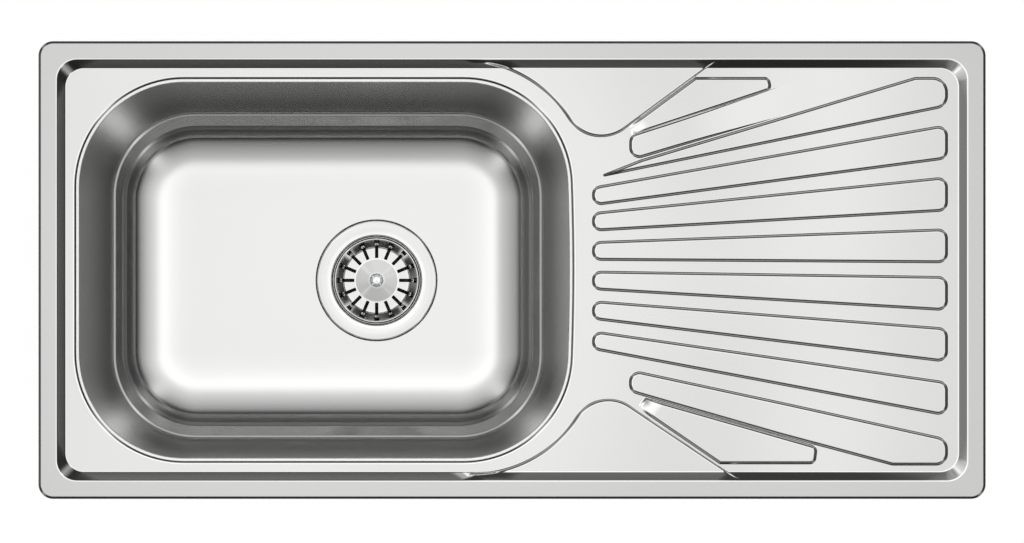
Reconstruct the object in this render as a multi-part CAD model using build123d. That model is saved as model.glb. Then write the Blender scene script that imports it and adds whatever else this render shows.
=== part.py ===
"""Inset kitchen sink: one pressed bowl, a ribbed drainboard, a basket strainer waste and its fixing clips.

Frame: origin at the middle of the outline on the worktop plane, +X towards the drainboard, +Y to the back,
+Z up. Every length is in millimetres and every angle in degrees.
"""
from build123d import *
import math
import os

# ---------------------------------------------------------------- rim, band and deck of the pressing
overall_length = 900.0
overall_width = 435.0
outline_radius = 14.0
sheet = 0.8                 # stainless sheet thickness
rim_height = 5.0            # rim top above the worktop
rim_width = 17.5            # flat part of the rim
band_width = 8.0            # sloping step between rim and deck, seen from above
band_top_radius = 19.0
band_foot_radius = 18.0
deck_drop = 6.0             # rim top down to the deck
edge_lift = 0.3             # turned-down edge stays this far off the worktop
skirt = 30.0                # depth of the block that the deck's skin is taken from

# ---------------------------------------------------------------- bowl
mouth_length = 474.0
mouth_radius = 104.5
mouth_end_gap = 8.2         # strip of deck left of the bowl
mouth_side_gap = 8.5        # strip of deck in front of the bowl and behind it
mouth_rounding = 5.0
mouth_strip = 2.0           # flat strip of deck made with the rounded mouth
lower_shift_x = 3.3         # the pressed ledges sit a little right and forward of the mouth
lower_shift_y = -5.5
bowl_depth = 155.0
ledge_width = 4.0
upper_run_x = 35.0          # from the mouth's edge to the upper ledge's inner edge
upper_run_y = 31.5
upper_ledge_radius = 76.0
upper_ledge_depth = 95.0
lower_run_x = 10.0          # from the upper ledge's inner edge to the lower one's
lower_run_y = 12.0
lower_ledge_radius = 68.0
lower_ledge_depth = 109.0
foot_inset = 7.0            # draft of the wall below the lower ledge
floor_radius = 22.0

# ---------------------------------------------------------------- drainboard relief
drainer_gap = 6.3           # from the bowl's mouth to where the drainboard's fall begins
drainer_fall = 2.0          # over the drainboard's length
rib_height = 2.0
rib_taper = 45.0
rib_left_gap = 18.7         # from the bowl's mouth to the fan
rib_right_gap = 10.8        # from the fan to the deck's right end
rib_back_gap = 9.0          # from the back ribs to the deck's back
rib_front_gap = 6.7
rib_left_width = 17.6
rib_right_width = 32.4
rib_left_radius = 8.4
rib_right_radius = 9.0
rib_left_centres = (69.9, 45.7, 18.1, -9.8, -37.9, -66.5)
rib_right_centres = (122.0, 72.4, 23.1, -22.4, -71.4, -122.6)
rib_root = 0.5              # depth that a rib's block stands into the floor's
groove = 0.8                # flat bottom of the groove between two touching ribs
fade_length = 45.0          # soft end of a rib that runs out into the floor

# tap ledges: each edge is an arc round the bowl's corner, an arc at the throat and a straight run
back_corner_shift = (-0.3, -0.1)    # from the centre of the mouth's corner, to the right and outwards
back_throat_gap = (25.3, 31.7)      # from the bowl's mouth and from the deck's side
back_throat_radius = 33.8
back_run_angle = 36.0
front_corner_shift = (8.9, -4.0)
front_throat_gap = (33.3, 34.5)
front_throat_radius = 35.0
front_run_angle = -35.3
ledge_start_angle = 8.7     # the arc round the bowl's corner starts this far from straight back or front

# ---------------------------------------------------------------- strainer waste
drain_shift_x = 46.3        # from the middle of the bowl's floor
drain_shift_y = -4.4
drain_hole_radius = 45.0
seat_radius = 59.0
seat_depth = 3.0
flange_radius = 57.5
flange_thickness = 1.5
flange_gasket_thickness = 1.0
flange_gasket_inset = 0.8
cup_radius = 42.0
cup_wall = 1.0
cup_lip = 2.0
cup_depth = 30.0
cup_shoulder = 6.0
outlet_seat_radius = 29.0
outlet_bore_radius = 20.0
outlet_thread_radius = 23.9
outlet_length = 29.0
thread_gap = 0.25
sink_gasket_thickness = 3.0
sink_gasket_radius = 56.0
friction_ring_thickness = 1.0
lock_nut_height = 10.0
lock_nut_radius = 54.0
lock_nut_lugs = 6
lug_width = 9.0
lug_reach = 4.0
lug_height = 6.0

# ---------------------------------------------------------------- basket
basket_radius = 40.5
basket_bead = 1.0
basket_wall = 0.8
basket_rim_drop = 4.0       # below the flange's top
basket_depth = 20.0
basket_floor_radius = 31.5
dome_radius = 20.4
dome_rise = 3.5
slot_count = 16
slot_width = 2.3
slot_start = 21.4
slot_end = 35.6
knob_radius = 6.9
knob_height = 10.0
crown_rise = 5.0
knob_edge = 1.0             # bevel under the knob's crown
neck_radius = 3.8
neck_height = 4.5
stem_radius = 3.0
stem_nut_radius = 6.0
stem_nut_height = 3.5
stem_end = 1.5              # stem showing under its nut
stem_in_knob = 5.0
spacer_radius = 9.0
spacer_gap = 0.05
running_gap = 0.3
seal_top_radius = 21.0
seal_lip_radius = 27.0
seal_lip_height = 2.6
seal_slope_height = 4.0

# ---------------------------------------------------------------- seals and pads
seal_width = 10.0
seal_side_gap = 0.3
seal_inner_radius = 7.0
pad_length = 130.0
pad_width = 180.0
pad_thickness = 2.0
pad_radius = 12.0
pad_shift_x = -89.0         # from the middle of the bowl's floor

# ---------------------------------------------------------------- rails and clips
rail_sheet = 1.0
rail_flange = 7.0
rail_drop = 14.0
rail_slot_length = 12.0
rail_slot_height = 4.0
rail_slot_pitch = 30.0
rail_slot_drop = 8.0
bowl_rail_length = 360.0
bowl_rail_shift = -25.7     # from the middle of the bowl's mouth
drainer_rail_length = 190.0
drainer_rail_gap = 124.5    # from the rail's middle to the deck's right end
side_rail_length = 330.0
clip_spacing = 250.0        # between the two clips of a bowl rail
bracket_sheet = 1.2
bracket_width = 16.0
bracket_height = 11.0
bracket_top_gap = 4.0
ear_length = 10.6
ear_below = 4.0             # ear under the pin's axis
ear_drop = 5.0              # ear's top under the bracket's top
pivot_out = 5.6
pivot_down = 17.0
pin_radius = 2.0
pin_head_radius = 3.2
pin_head = 1.0
pin_gap = 0.08
arm_sheet = 2.0
arm_width = 12.0
eye_radius = 4.0
arm_drop = 45.0
arm_reach = 33.0
arm_lip = 3.0
screw_out = 26.0
screw_radius = 2.5
screw_gap = 0.1
collar_radius = 4.5
collar_height = 4.0
screw_tip_z = -31.5
screw_length = 24.0
screw_point = 3.0
screw_point_radius = 0.6
screw_head_radius = 5.5
screw_head_height = 3.5
screw_slot_width = 1.2
screw_slot_depth = 1.5
hang_angle = 26.7           # a loose arm hangs this far inwards of where it clamps

# ---------------------------------------------------------------- values that follow
deck_z = rim_height - deck_drop
floor_z = deck_z - bowl_depth
seat_z = floor_z - seat_depth
deck_length = overall_length - 2 * (rim_width + band_width)
deck_width = overall_width - 2 * (rim_width + band_width)
deck_half = deck_length / 2
deck_side = deck_width / 2
mouth_width = deck_width - 2 * mouth_side_gap
mouth_side = mouth_width / 2
mouth_x = mouth_end_gap + mouth_length / 2 - deck_half
mouth_right = mouth_x + mouth_length / 2
lower_x = mouth_x + lower_shift_x
upper_ledge_length = mouth_length - 2 * upper_run_x
upper_ledge_width = mouth_width - 2 * upper_run_y
lower_ledge_length = upper_ledge_length - 2 * lower_run_x
lower_ledge_width = upper_ledge_width - 2 * lower_run_y
drainer_start = mouth_right + drainer_gap
rib_left_x = mouth_right + rib_left_gap
rib_right_x = deck_half - rib_right_gap
drain_x = lower_x + drain_shift_x
drain_y = lower_shift_y + drain_shift_y
bowl_rail_x = mouth_x + bowl_rail_shift
drainer_rail_x = deck_half - drainer_rail_gap
flange_top_z = seat_z + flange_gasket_thickness + flange_thickness
cup_floor_z = flange_top_z - cup_depth - cup_shoulder
basket_top_z = flange_top_z - basket_rim_drop
basket_floor_z = basket_top_z - basket_depth
seal_foot_z = cup_floor_z + running_gap

parts = {}


def plate(length, width, radius, x=0.0, y=0.0, z=0.0):
    """A flat rounded rectangle."""
    return Pos(x, y, z) * RectangleRounded(length, width, radius)


def slab(length, width, radius, low, high, x=0.0, y=0.0):
    """An upright rounded block between two heights."""
    return extrude(plate(length, width, radius, x, y, low), amount=high - low)


def block(x, y, z):
    """A plain block between (low, high) pairs."""
    return Pos(x[0], y[0], z[0]) * Box(x[1] - x[0], y[1] - y[0], z[1] - z[0], align=(Align.MIN,) * 3)


def ring(outer, inner, low, high):
    """A flat round ring about Z."""
    return extrude(Pos(0, 0, low) * (Circle(outer) - Circle(inner)), amount=high - low)


def rod(radius, low, high):
    """A round rod along Z."""
    return Pos(0, 0, low) * Cylinder(radius, high - low, align=(Align.CENTER, Align.CENTER, Align.MIN))


def cross_rod(radius, half_length):
    """A round rod along Y, centred on the origin."""
    return Rot(90, 0, 0) * Cylinder(radius, 2 * half_length)


def turned(*edges):
    """A body of revolution about Z from edges drawn in the XZ plane."""
    return revolve(make_face(Curve() + list(edges)), axis=Axis.Z)


# ---------------------------------------------------------------- the pressing
def band_pocket():
    """The space between the rim's top and the deck."""
    grow = 2 * band_width
    foot = plate(deck_length, deck_width, band_foot_radius, z=deck_z)
    top = plate(deck_length + grow, deck_width + grow, band_top_radius, z=rim_height)
    return loft([foot, top], ruled=True)


def fall_at(x):
    """How far the drainboard's floor has risen above the deck at x."""
    return drainer_fall * (x - drainer_start) / (deck_half - drainer_start)


def on_drainer(shape):
    """Tilts a shape drawn on a level floor at z = 0 to the drainboard's fall."""
    slope = math.degrees(math.atan(fall_at(drainer_start + 1)))
    return Pos(drainer_start, 0, deck_z) * Rot(0, -slope, 0) * Pos(-drainer_start, 0, 0) * shape


def raised(outline):
    """A flat-topped rib with sloping sides, standing a little into the floor at z = 0."""
    foot = Pos(0, 0, -rib_root) * offset(outline, amount=rib_root)
    return extrude(foot, amount=rib_root + rib_height, dir=(0, 0, 1), taper=rib_taper)


def rounded_outline(corners):
    """A closed outline from (x, y, radius) corners."""
    outline = Polygon(*[(x, y) for x, y, _ in corners], align=None)
    for x, y, radius in corners:
        if radius > 0:
            outline = fillet(outline.vertices().sort_by_distance((x, y, 0))[0], radius)
    return outline


def run_out(rib, start, full):
    """Lets a rib sink into the floor: nothing left of it at x = start, its whole height from x = full on."""
    past = full + math.copysign(overall_length, full - start)
    low = -2 * rib_root
    keep = make_face(Polyline(
        (start, 0, 0), (full, 0, rib_height), (past, 0, rib_height), (past, 0, low), (start, 0, low), close=True))
    return rib & extrude(keep, amount=overall_width, both=True)


def fan_ribs():
    """The closed ribs that fan out from the throat."""
    for left, right in zip(rib_left_centres, rib_right_centres):
        yield raised(rounded_outline([
            (rib_left_x, left + rib_left_width / 2, rib_left_radius),
            (rib_left_x, left - rib_left_width / 2, rib_left_radius),
            (rib_right_x, right - rib_right_width / 2, rib_right_radius),
            (rib_right_x, right + rib_right_width / 2, rib_right_radius),
        ]))


def back_ribs():
    """The three ribs behind the fan: a long one, one that sinks away to the right, and a short one."""
    x = rib_left_x
    y = deck_side - rib_back_gap
    tip = x + 2.6
    end = x + 35.6
    long_rib = rounded_outline([
        (tip, 87.5, 0.8),
        (x + 46.0, 104.6, 12.0),
        (rib_right_x - 30.6, y, 6.0),
        (rib_right_x, y, 14.0),
        (rib_right_x, y - 27.5, 12.0),
    ])
    middle_rib = rounded_outline([
        (x + 34.1, 131.0, 9.5),
        (x + 34.1, 103.0, 9.5),
        (x + 243.6, y - 18.5, 0.0),
        (x + 243.6, y, 0.0),
        (x + 170.6, y, 0.0),
    ])
    short_rib = rounded_outline([
        (end, 136.0, 1.5),
        (end + 5.0, 128.5, 1.5),
        (end + 139.0, y - 10.5, 6.0),
        (end + 136.5, y, 4.0),
        (end + 65.5, y, 2.0),
    ])
    middle_rib = middle_rib - offset(short_rib, amount=groove) - offset(long_rib, amount=groove)
    return [
        run_out(raised(long_rib), tip, tip + fade_length),
        run_out(raised(middle_rib), x + 198.6, x + 73.6),
        run_out(raised(short_rib), end, end + fade_length / 2),
    ]


def front_ribs():
    """The two ribs in front of the fan."""
    x = rib_left_x + 35.1
    y = rib_front_gap - deck_side
    end = x + 10.5
    long_rib = rounded_outline([
        (x, -94.5, 9.5),
        (x + 152.6, -127.4, 0.0),
        (rib_right_x, y + 24.8, 12.0),
        (rib_right_x, y, 11.0),
        (rib_right_x - 52.3, y, 4.0),
        (x + 143.1, -156.7, 0.0),
        (x, -115.5, 9.5),
    ])
    short_rib = rounded_outline([
        (end, -129.5, 1.5),
        (end + 5.0, -121.5, 1.5),
        (end + 168.0, y + 17.3, 6.0),
        (end + 166.0, y + 1.2, 6.0),
        (end + 75.5, y + 1.2, 2.0),
    ])
    short_rib = short_rib - offset(long_rib, amount=groove)
    return [raised(long_rib), run_out(raised(short_rib), end, end + fade_length / 2)]


def tap_ledge(side, corner_shift, throat_gap, throat_radius, run_angle):
    """A flat triangle beside the throat: an arc round the bowl's corner, the throat's arc, a straight run."""
    corner = (mouth_right - mouth_radius + corner_shift[0], side * (mouth_side - mouth_radius + corner_shift[1]))
    throat = (mouth_right + throat_gap[0], side * (deck_side - throat_gap[1]))
    across = Vector(*throat) - Vector(*corner)
    corner_radius = across.length - throat_radius
    steep = math.copysign(90, side)
    meet_angle = math.degrees(math.atan2(across.Y, across.X))

    def on_arc(centre, radius, angle):
        return Vector(*centre) + radius * Vector(math.cos(math.radians(angle)), math.sin(math.radians(angle)))

    start_angle = steep - side * ledge_start_angle
    start = on_arc(corner, corner_radius, start_angle)
    middle = on_arc(corner, corner_radius, (start_angle + meet_angle) / 2)
    meet = on_arc(corner, corner_radius, meet_angle)
    leave = on_arc(throat, throat_radius, run_angle - steep)
    outer_y = side * (deck_side + band_width)
    end = leave + Vector(1, math.tan(math.radians(run_angle))) * (
        (outer_y - leave.Y) / math.tan(math.radians(run_angle)))
    outline = make_face(Curve() + [
        ThreePointArc(start, middle, meet),
        ThreePointArc(meet, on_arc(throat, throat_radius, -steep), leave),
        Polyline(leave, end, (start.X, outer_y), start),
    ])
    return Pos(0, 0, deck_z) * raised(outline)


def deck_block():
    """Everything under the top skin of rim, band and deck, down to the skirt."""
    solid = slab(overall_length, overall_width, outline_radius, -skirt, rim_height)
    far = deck_half + band_width
    fall = make_face(Polyline(
        (drainer_start, 0, deck_z), (far, 0, deck_z + fall_at(far)), (far, 0, deck_z), close=True))
    pocket = band_pocket()
    solid = solid - (pocket - extrude(fall, amount=overall_width, both=True))
    for rib in [*fan_ribs(), *back_ribs(), *front_ribs()]:
        solid = solid + on_drainer(rib)
    back = tap_ledge(1, back_corner_shift, back_throat_gap, back_throat_radius, back_run_angle)
    front = tap_ledge(-1, front_corner_shift, front_throat_gap, front_throat_radius, front_run_angle)
    return solid + (back & pocket) + (front & pocket)


def mouth_block(grow):
    """The deck strip round the bowl with its rounded mouth, lowered and widened by the sheet it gives up."""
    low = deck_z - mouth_rounding
    deep = low - mouth_rounding
    inset = mouth_rounding - grow

    def around(out, bottom, top):
        return slab(mouth_length + 2 * out, mouth_width + 2 * out, mouth_radius + out, bottom, top, mouth_x)

    solid = around(mouth_strip, deep, deck_z - grow) - around(-inset, deep, deck_z)
    top = solid.faces().sort_by(Axis.Z)[-1]
    solid = fillet(top.inner_wires()[0].edges(), inset)
    return solid - around(mouth_strip, deep, low)


def bowl_block(grow):
    """The bowl's inside from under its rounded mouth, or with grow the block that its outside fills."""
    def section(length, width, radius, depth, x=lower_x, y=lower_shift_y):
        return plate(length + 2 * grow, width + 2 * grow, radius + grow, x, y, deck_z - depth)

    def ledge(length, width, radius, depth):
        step = ledge_width
        outer = section(length + 2 * step, width + 2 * step, radius + step, depth + grow)
        return outer, section(length, width, radius, depth)

    inset = mouth_rounding
    mouth = section(mouth_length - 2 * inset, mouth_width - 2 * inset, mouth_radius - inset, inset, mouth_x, 0)
    upper = ledge(upper_ledge_length, upper_ledge_width, upper_ledge_radius, upper_ledge_depth)
    lower = ledge(lower_ledge_length, lower_ledge_width, lower_ledge_radius, lower_ledge_depth)
    foot = section(lower_ledge_length - 2 * foot_inset, lower_ledge_width - 2 * foot_inset,
                   lower_ledge_radius - foot_inset, bowl_depth + grow)
    well = loft([foot, lower[1]], ruled=True)
    well = fillet(well.edges().group_by(Axis.Z)[0], floor_radius + grow)
    seat = Pos(drain_x, drain_y, 0) * rod(seat_radius + grow, seat_z - grow, floor_z + sheet)
    return well + loft([lower[0], upper[1]], ruled=True) + loft([upper[0], mouth], ruled=True) + seat


def sink_pressing():
    """Rim, band, deck, ribs and bowl, one sheet thick all over."""
    solid = deck_block()
    skin = solid - Pos(0, 0, -sheet) * solid
    turned_edge = slab(overall_length, overall_width, outline_radius, edge_lift, rim_height)
    turned_edge = turned_edge - slab(overall_length - 2 * sheet, overall_width - 2 * sheet,
                                     outline_radius - sheet, edge_lift, rim_height)
    skin = skin - slab(mouth_length + 2 * mouth_strip, mouth_width + 2 * mouth_strip,
                       mouth_radius + mouth_strip, -skirt, rim_height, mouth_x)
    mouth = mouth_block(0) - mouth_block(sheet)
    bowl = bowl_block(sheet) - bowl_block(0)
    hole = Pos(drain_x, drain_y, 0) * rod(drain_hole_radius, seat_z - 2 * sheet, seat_z + sheet)
    return skin + turned_edge + mouth + (bowl - hole)


# ---------------------------------------------------------------- seals, pad and rails
def rim_seal():
    """The strip pressed between the rim and the worktop."""
    side = sheet + seal_side_gap
    top = rim_height - sheet
    outer = slab(overall_length - 2 * side, overall_width - 2 * side, outline_radius - side, 0, top)
    side = side + seal_width
    return outer - slab(overall_length - 2 * side, overall_width - 2 * side, seal_inner_radius, 0, top)


def bowl_pad():
    """The sound-deadening pad stuck under the bowl."""
    under = floor_z - sheet
    return slab(pad_length, pad_width, pad_radius, under - pad_thickness, under,
                lower_x + pad_shift_x, lower_shift_y)


def at_edge(side, along, shape):
    """Puts a shape drawn with +X outwards from the foot of the band at one side of the deck."""
    places = {
        "front": Pos(along, -deck_side, 0) * Rot(0, 0, -90),
        "back": Pos(along, deck_side, 0) * Rot(0, 0, 90),
        "left": Pos(-deck_half, along, 0) * Rot(0, 0, 180),
        "right": Pos(deck_half, along, 0),
    }
    return places[side] * shape


def rail(length):
    """A slotted angle welded under the deck, drawn under a deck at z = 0."""
    half = length / 2
    solid = block((-rail_flange, 0), (-half, half), (-sheet - rail_sheet, -sheet))
    solid = solid + block((-rail_sheet, 0), (-half, half), (-sheet - rail_drop, -sheet))
    slots = int(length // rail_slot_pitch)
    for i in range(slots):
        y = (i - (slots - 1) / 2) * rail_slot_pitch
        solid = solid - block((-rail_sheet, 0), (y - rail_slot_length / 2, y + rail_slot_length / 2),
                              (-sheet - rail_slot_drop, -sheet - rail_slot_drop + rail_slot_height))
    return solid


# ---------------------------------------------------------------- fixing clips, drawn with +X outwards
def clip_bracket():
    """A welded channel whose two ears carry the clip's pin."""
    half = bracket_width / 2
    top = deck_z - bracket_top_gap
    solid = block((0, bracket_sheet), (-half, half), (top - bracket_height, top))
    for y in ((-half, bracket_sheet - half), (half - bracket_sheet, half)):
        solid = solid + block((0, ear_length), y, (-pivot_down - ear_below, top - ear_drop))
    return solid - Pos(pivot_out, 0, -pivot_down) * cross_rod(pin_radius, half)


def clip_pin():
    """A riveted pin through both ears."""
    half = bracket_width / 2
    solid = cross_rod(pin_radius, half + pin_head)
    for side in (-1, 1):
        solid = solid + Pos(0, side * (half + pin_head / 2), 0) * cross_rod(pin_head_radius, pin_head / 2)
    return Pos(pivot_out, 0, -pivot_down) * solid


def clip_arm():
    """The arm that swings out under the worktop, with a threaded collar for its screw."""
    half = arm_width / 2
    low = -arm_drop
    eye = Pos(pivot_out, 0, -pivot_down) * cross_rod(eye_radius, half)
    leg = block((pivot_out - arm_sheet / 2, pivot_out + arm_sheet / 2), (-half, half), (low, -pivot_down))
    foot = block((pivot_out - arm_sheet / 2, arm_reach), (-half, half), (low, low + arm_sheet))
    lip = block((arm_reach - arm_sheet, arm_reach), (-half, half), (low, low + arm_sheet + arm_lip))
    collar = Pos(screw_out, 0, 0) * rod(collar_radius, low + arm_sheet - collar_height, low + arm_sheet)
    solid = eye + leg + foot + lip + collar
    solid = solid - Pos(pivot_out, 0, -pivot_down) * cross_rod(pin_radius + pin_gap, half)
    return solid - Pos(screw_out, 0, 0) * rod(screw_radius + screw_gap, low - collar_height, low + arm_lip)


def hanging(shape):
    """Turns a clip's arm or screw, drawn clamped, inwards to where the loose arm hangs."""
    return Pos(pivot_out, 0, -pivot_down) * Rot(0, hang_angle, 0) * Pos(-pivot_out, 0, pivot_down) * shape


def clip_screw():
    """The pointed screw that presses up against the worktop."""
    head_top = screw_tip_z - screw_length
    head_low = head_top - screw_head_height
    point_z = screw_tip_z - screw_point
    solid = rod(screw_radius, head_top, point_z) + rod(screw_head_radius, head_low, head_top)
    solid = solid + Pos(0, 0, point_z) * Cone(screw_radius, screw_point_radius, screw_point,
                                              align=(Align.CENTER, Align.CENTER, Align.MIN))
    slot = block((-screw_head_radius, screw_head_radius), (-screw_slot_width / 2, screw_slot_width / 2),
                 (head_low, head_low + screw_slot_depth))
    return Pos(screw_out, 0, 0) * (solid - slot)


# ---------------------------------------------------------------- strainer waste, drawn about its own axis
def strainer_body():
    """Flange, cup and threaded outlet in one."""
    r = cup_radius
    under = flange_top_z - flange_thickness
    lip_z = flange_top_z - cup_lip
    shoulder_z = flange_top_z - cup_depth
    low = cup_floor_z - cup_wall
    bend = cup_lip * (1 - math.sqrt(0.5))
    return turned(
        Polyline((r + cup_wall, 0, under), (flange_radius, 0, under), (flange_radius, 0, flange_top_z),
                 (r + cup_lip, 0, flange_top_z)),
        ThreePointArc((r + cup_lip, 0, flange_top_z), (r + bend, 0, flange_top_z - bend), (r, 0, lip_z)),
        Polyline((r, 0, lip_z), (r, 0, shoulder_z), (outlet_seat_radius, 0, cup_floor_z),
                 (outlet_bore_radius, 0, cup_floor_z), (outlet_bore_radius, 0, low - outlet_length),
                 (outlet_thread_radius, 0, low - outlet_length), (outlet_thread_radius, 0, low),
                 (outlet_seat_radius, 0, low), (r + cup_wall, 0, shoulder_z - cup_wall),
                 (r + cup_wall, 0, under)),
    )


def lock_nut(top):
    """The ring nut under the sink, with lugs to grip it by."""
    solid = ring(lock_nut_radius, cup_radius + cup_wall + thread_gap, top - lock_nut_height, top)
    for i in range(lock_nut_lugs):
        lug = block((lock_nut_radius - lug_reach, lock_nut_radius + lug_reach), (-lug_width / 2, lug_width / 2),
                    (top - lock_nut_height, top - lock_nut_height + lug_height))
        solid = solid + Rot(0, 0, i * 360 / lock_nut_lugs) * lug
    return solid


def dome_z(r):
    """Height of the basket's domed middle at a radius."""
    sphere = (dome_radius ** 2 + dome_rise ** 2) / (2 * dome_rise)
    return basket_floor_z + dome_rise - sphere + math.sqrt(sphere ** 2 - r ** 2)


def basket():
    """The slotted strainer basket with its rolled rim."""
    f = basket_floor_z
    w = basket_wall
    rim = basket_radius - basket_bead
    half = dome_radius / 2
    solid = turned(
        ThreePointArc((stem_radius, 0, dome_z(stem_radius)), (half, 0, dome_z(half)), (dome_radius, 0, f)),
        Polyline((dome_radius, 0, f), (basket_floor_radius, 0, f), (rim, 0, basket_top_z),
                 (rim + w, 0, basket_top_z), (basket_floor_radius + w, 0, f - w), (dome_radius, 0, f - w)),
        ThreePointArc((dome_radius, 0, f - w), (half, 0, dome_z(half) - w),
                      (stem_radius, 0, dome_z(stem_radius) - w)),
        Line((stem_radius, 0, dome_z(stem_radius) - w), (stem_radius, 0, dome_z(stem_radius))),
    )
    wall_run = (slot_end - basket_floor_radius) / (rim - basket_floor_radius)
    slot = block((slot_start, slot_end + w), (-slot_width / 2, slot_width / 2),
                 (f - 2 * w, f + wall_run * basket_depth))
    for i in range(slot_count):
        solid = solid - Rot(0, 0, i * 360 / slot_count) * slot
    bead = revolve(Pos(rim, 0, basket_top_z) * Rot(90, 0, 0) * Circle(basket_bead), axis=Axis.Z)
    return solid + bead


def knob():
    """The lifting knob, turned with a neck under a rounded crown."""
    base = dome_z(stem_radius)
    under = base + neck_height
    edge = under + knob_height - crown_rise
    sphere = (knob_radius ** 2 + crown_rise ** 2) / (2 * crown_rise)
    half = knob_radius / 2
    half_z = under + knob_height - sphere + math.sqrt(sphere ** 2 - half ** 2)
    top = (0, 0, under + knob_height)
    solid = turned(
        Polyline((0, 0, base), (neck_radius, 0, base), (neck_radius, 0, under), (knob_radius - knob_edge, 0, under),
                 (knob_radius, 0, under + knob_edge), (knob_radius, 0, edge)),
        ThreePointArc((knob_radius, 0, edge), (half, 0, half_z), top),
        Line(top, (0, 0, base)),
    )
    return solid - rod(stem_radius, base, base + stem_in_knob)


def stopper_seal():
    """The rubber plug under the basket, flared to a lip that closes the outlet."""
    top = basket_floor_z - basket_wall - running_gap
    bore = stem_radius + running_gap
    slope_z = seal_foot_z + seal_lip_height
    return turned(Polyline(
        (bore, 0, seal_foot_z), (seal_lip_radius, 0, seal_foot_z), (seal_lip_radius, 0, slope_z),
        (seal_top_radius, 0, slope_z + seal_slope_height), (seal_top_radius, 0, top), (bore, 0, top), close=True))


def waste_parts():
    """Every piece of the strainer waste, by node name, drawn about the drain's axis."""
    under = seat_z - sheet
    bore = cup_radius + cup_wall + thread_gap
    ring_z = under - sink_gasket_thickness
    nut_z = ring_z - friction_ring_thickness
    seal_top = basket_floor_z - basket_wall - running_gap
    nut_top = seal_foot_z - running_gap
    nut_low = nut_top - stem_nut_height
    nut = extrude(Pos(0, 0, nut_low) * RegularPolygon(stem_nut_radius, 6), amount=stem_nut_height)
    return {
        "strainer_body": strainer_body(),
        "flange_gasket": ring(flange_radius - flange_gasket_inset, drain_hole_radius,
                              seat_z, seat_z + flange_gasket_thickness),
        "sink_gasket": ring(sink_gasket_radius, bore, ring_z, under),
        "friction_ring": ring(sink_gasket_radius, bore, nut_z, ring_z),
        "lock_nut": lock_nut(nut_z),
        "strainer_basket": basket(),
        "basket_knob": knob(),
        "basket_stem": rod(stem_radius, nut_low - stem_end, dome_z(stem_radius) + stem_in_knob),
        "stem_spacer": ring(spacer_radius, stem_radius, seal_top + running_gap,
                            dome_z(spacer_radius) - basket_wall - spacer_gap),
        "stopper_seal": stopper_seal(),
        "stem_nut": nut - rod(stem_radius, nut_low, nut_top),
    }


# ---------------------------------------------------------------- everything in its place
parts["sink_pressing"] = sink_pressing()
parts["rim_seal"] = rim_seal()
parts["bowl_pad"] = bowl_pad()

bowl_rail = Pos(0, 0, deck_z) * rail(bowl_rail_length)
side_rail = Pos(0, 0, deck_z) * rail(side_rail_length)
drainer_rail = rail(drainer_rail_length)
parts["rail_left"] = at_edge("left", 0, side_rail)
parts["rail_right"] = Pos(0, 0, fall_at(deck_half - rail_flange)) * at_edge("right", 0, side_rail)
for side in ("front", "back"):
    parts[f"rail_{side}_bowl"] = at_edge(side, bowl_rail_x, bowl_rail)
    parts[f"rail_{side}_drainer"] = on_drainer(at_edge(side, drainer_rail_x, drainer_rail))

clip_places = [("left", 0.0), ("right", 0.0)]
for side in ("front", "back"):
    clip_places += [(side, x) for x in (bowl_rail_x - clip_spacing / 2, bowl_rail_x + clip_spacing / 2,
                                        drainer_rail_x)]

parts["clip_brackets"] = Compound([at_edge(side, along, clip_bracket()) for side, along in clip_places])
parts["clip_pins"] = Compound([at_edge(side, along, clip_pin()) for side, along in clip_places])
for number, (side, along) in enumerate(clip_places, 1):
    parts[f"clip_arm_{number}"] = at_edge(side, along, hanging(clip_arm()))
    parts[f"clip_screw_{number}"] = at_edge(side, along, hanging(clip_screw()))

for name, shape in waste_parts().items():
    parts[name] = Pos(drain_x, drain_y, 0) * shape

os.makedirs("parts", exist_ok=True)
for name, shape in parts.items():
    export_step(shape, f"parts/{name}.step")
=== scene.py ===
"""Kitchen sink with drainboard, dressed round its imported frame.

Every piece is built in millimetres in the frame's own place: origin at the middle of the outline on the worktop
plane, +X towards the drainboard, +Y to the back, +Z up. Meshes are scaled to metres when they are made.
"""
import math
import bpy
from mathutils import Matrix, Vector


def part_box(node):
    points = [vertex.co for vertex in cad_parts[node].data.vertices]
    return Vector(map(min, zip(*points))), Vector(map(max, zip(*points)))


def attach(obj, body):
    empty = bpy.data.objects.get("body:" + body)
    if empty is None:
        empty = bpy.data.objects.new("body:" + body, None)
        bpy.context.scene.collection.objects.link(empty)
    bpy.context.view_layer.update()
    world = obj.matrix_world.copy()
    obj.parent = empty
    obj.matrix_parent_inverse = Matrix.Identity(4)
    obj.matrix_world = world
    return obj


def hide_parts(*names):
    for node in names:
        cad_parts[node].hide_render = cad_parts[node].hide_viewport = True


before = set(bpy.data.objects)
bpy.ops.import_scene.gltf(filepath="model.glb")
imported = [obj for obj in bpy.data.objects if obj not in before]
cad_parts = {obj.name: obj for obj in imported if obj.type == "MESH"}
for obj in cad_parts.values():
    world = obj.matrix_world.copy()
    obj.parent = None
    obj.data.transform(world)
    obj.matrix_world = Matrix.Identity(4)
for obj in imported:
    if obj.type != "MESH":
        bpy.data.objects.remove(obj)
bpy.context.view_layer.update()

from types import SimpleNamespace

import bpy
import numpy as np
from mathutils import Vector
from mathutils.geometry import delaunay_2d_cdt

bl_info = {
    "name": "Kitchen sink with drainboard",
    "version": (1, 0, 0),
    "blender": (4, 5, 0),
    "location": "View3D > Sidebar > Sink",
    "description": "Builds an inset steel sink, its basket strainer and its fixing clips",
    "category": "Add Mesh",
}

MM = 0.001
SWAY_SIZE, MOTTLE_SIZE = 90.0, 30.0      # spots of the metals' slow wave and of the soft materials' mottle


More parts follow.
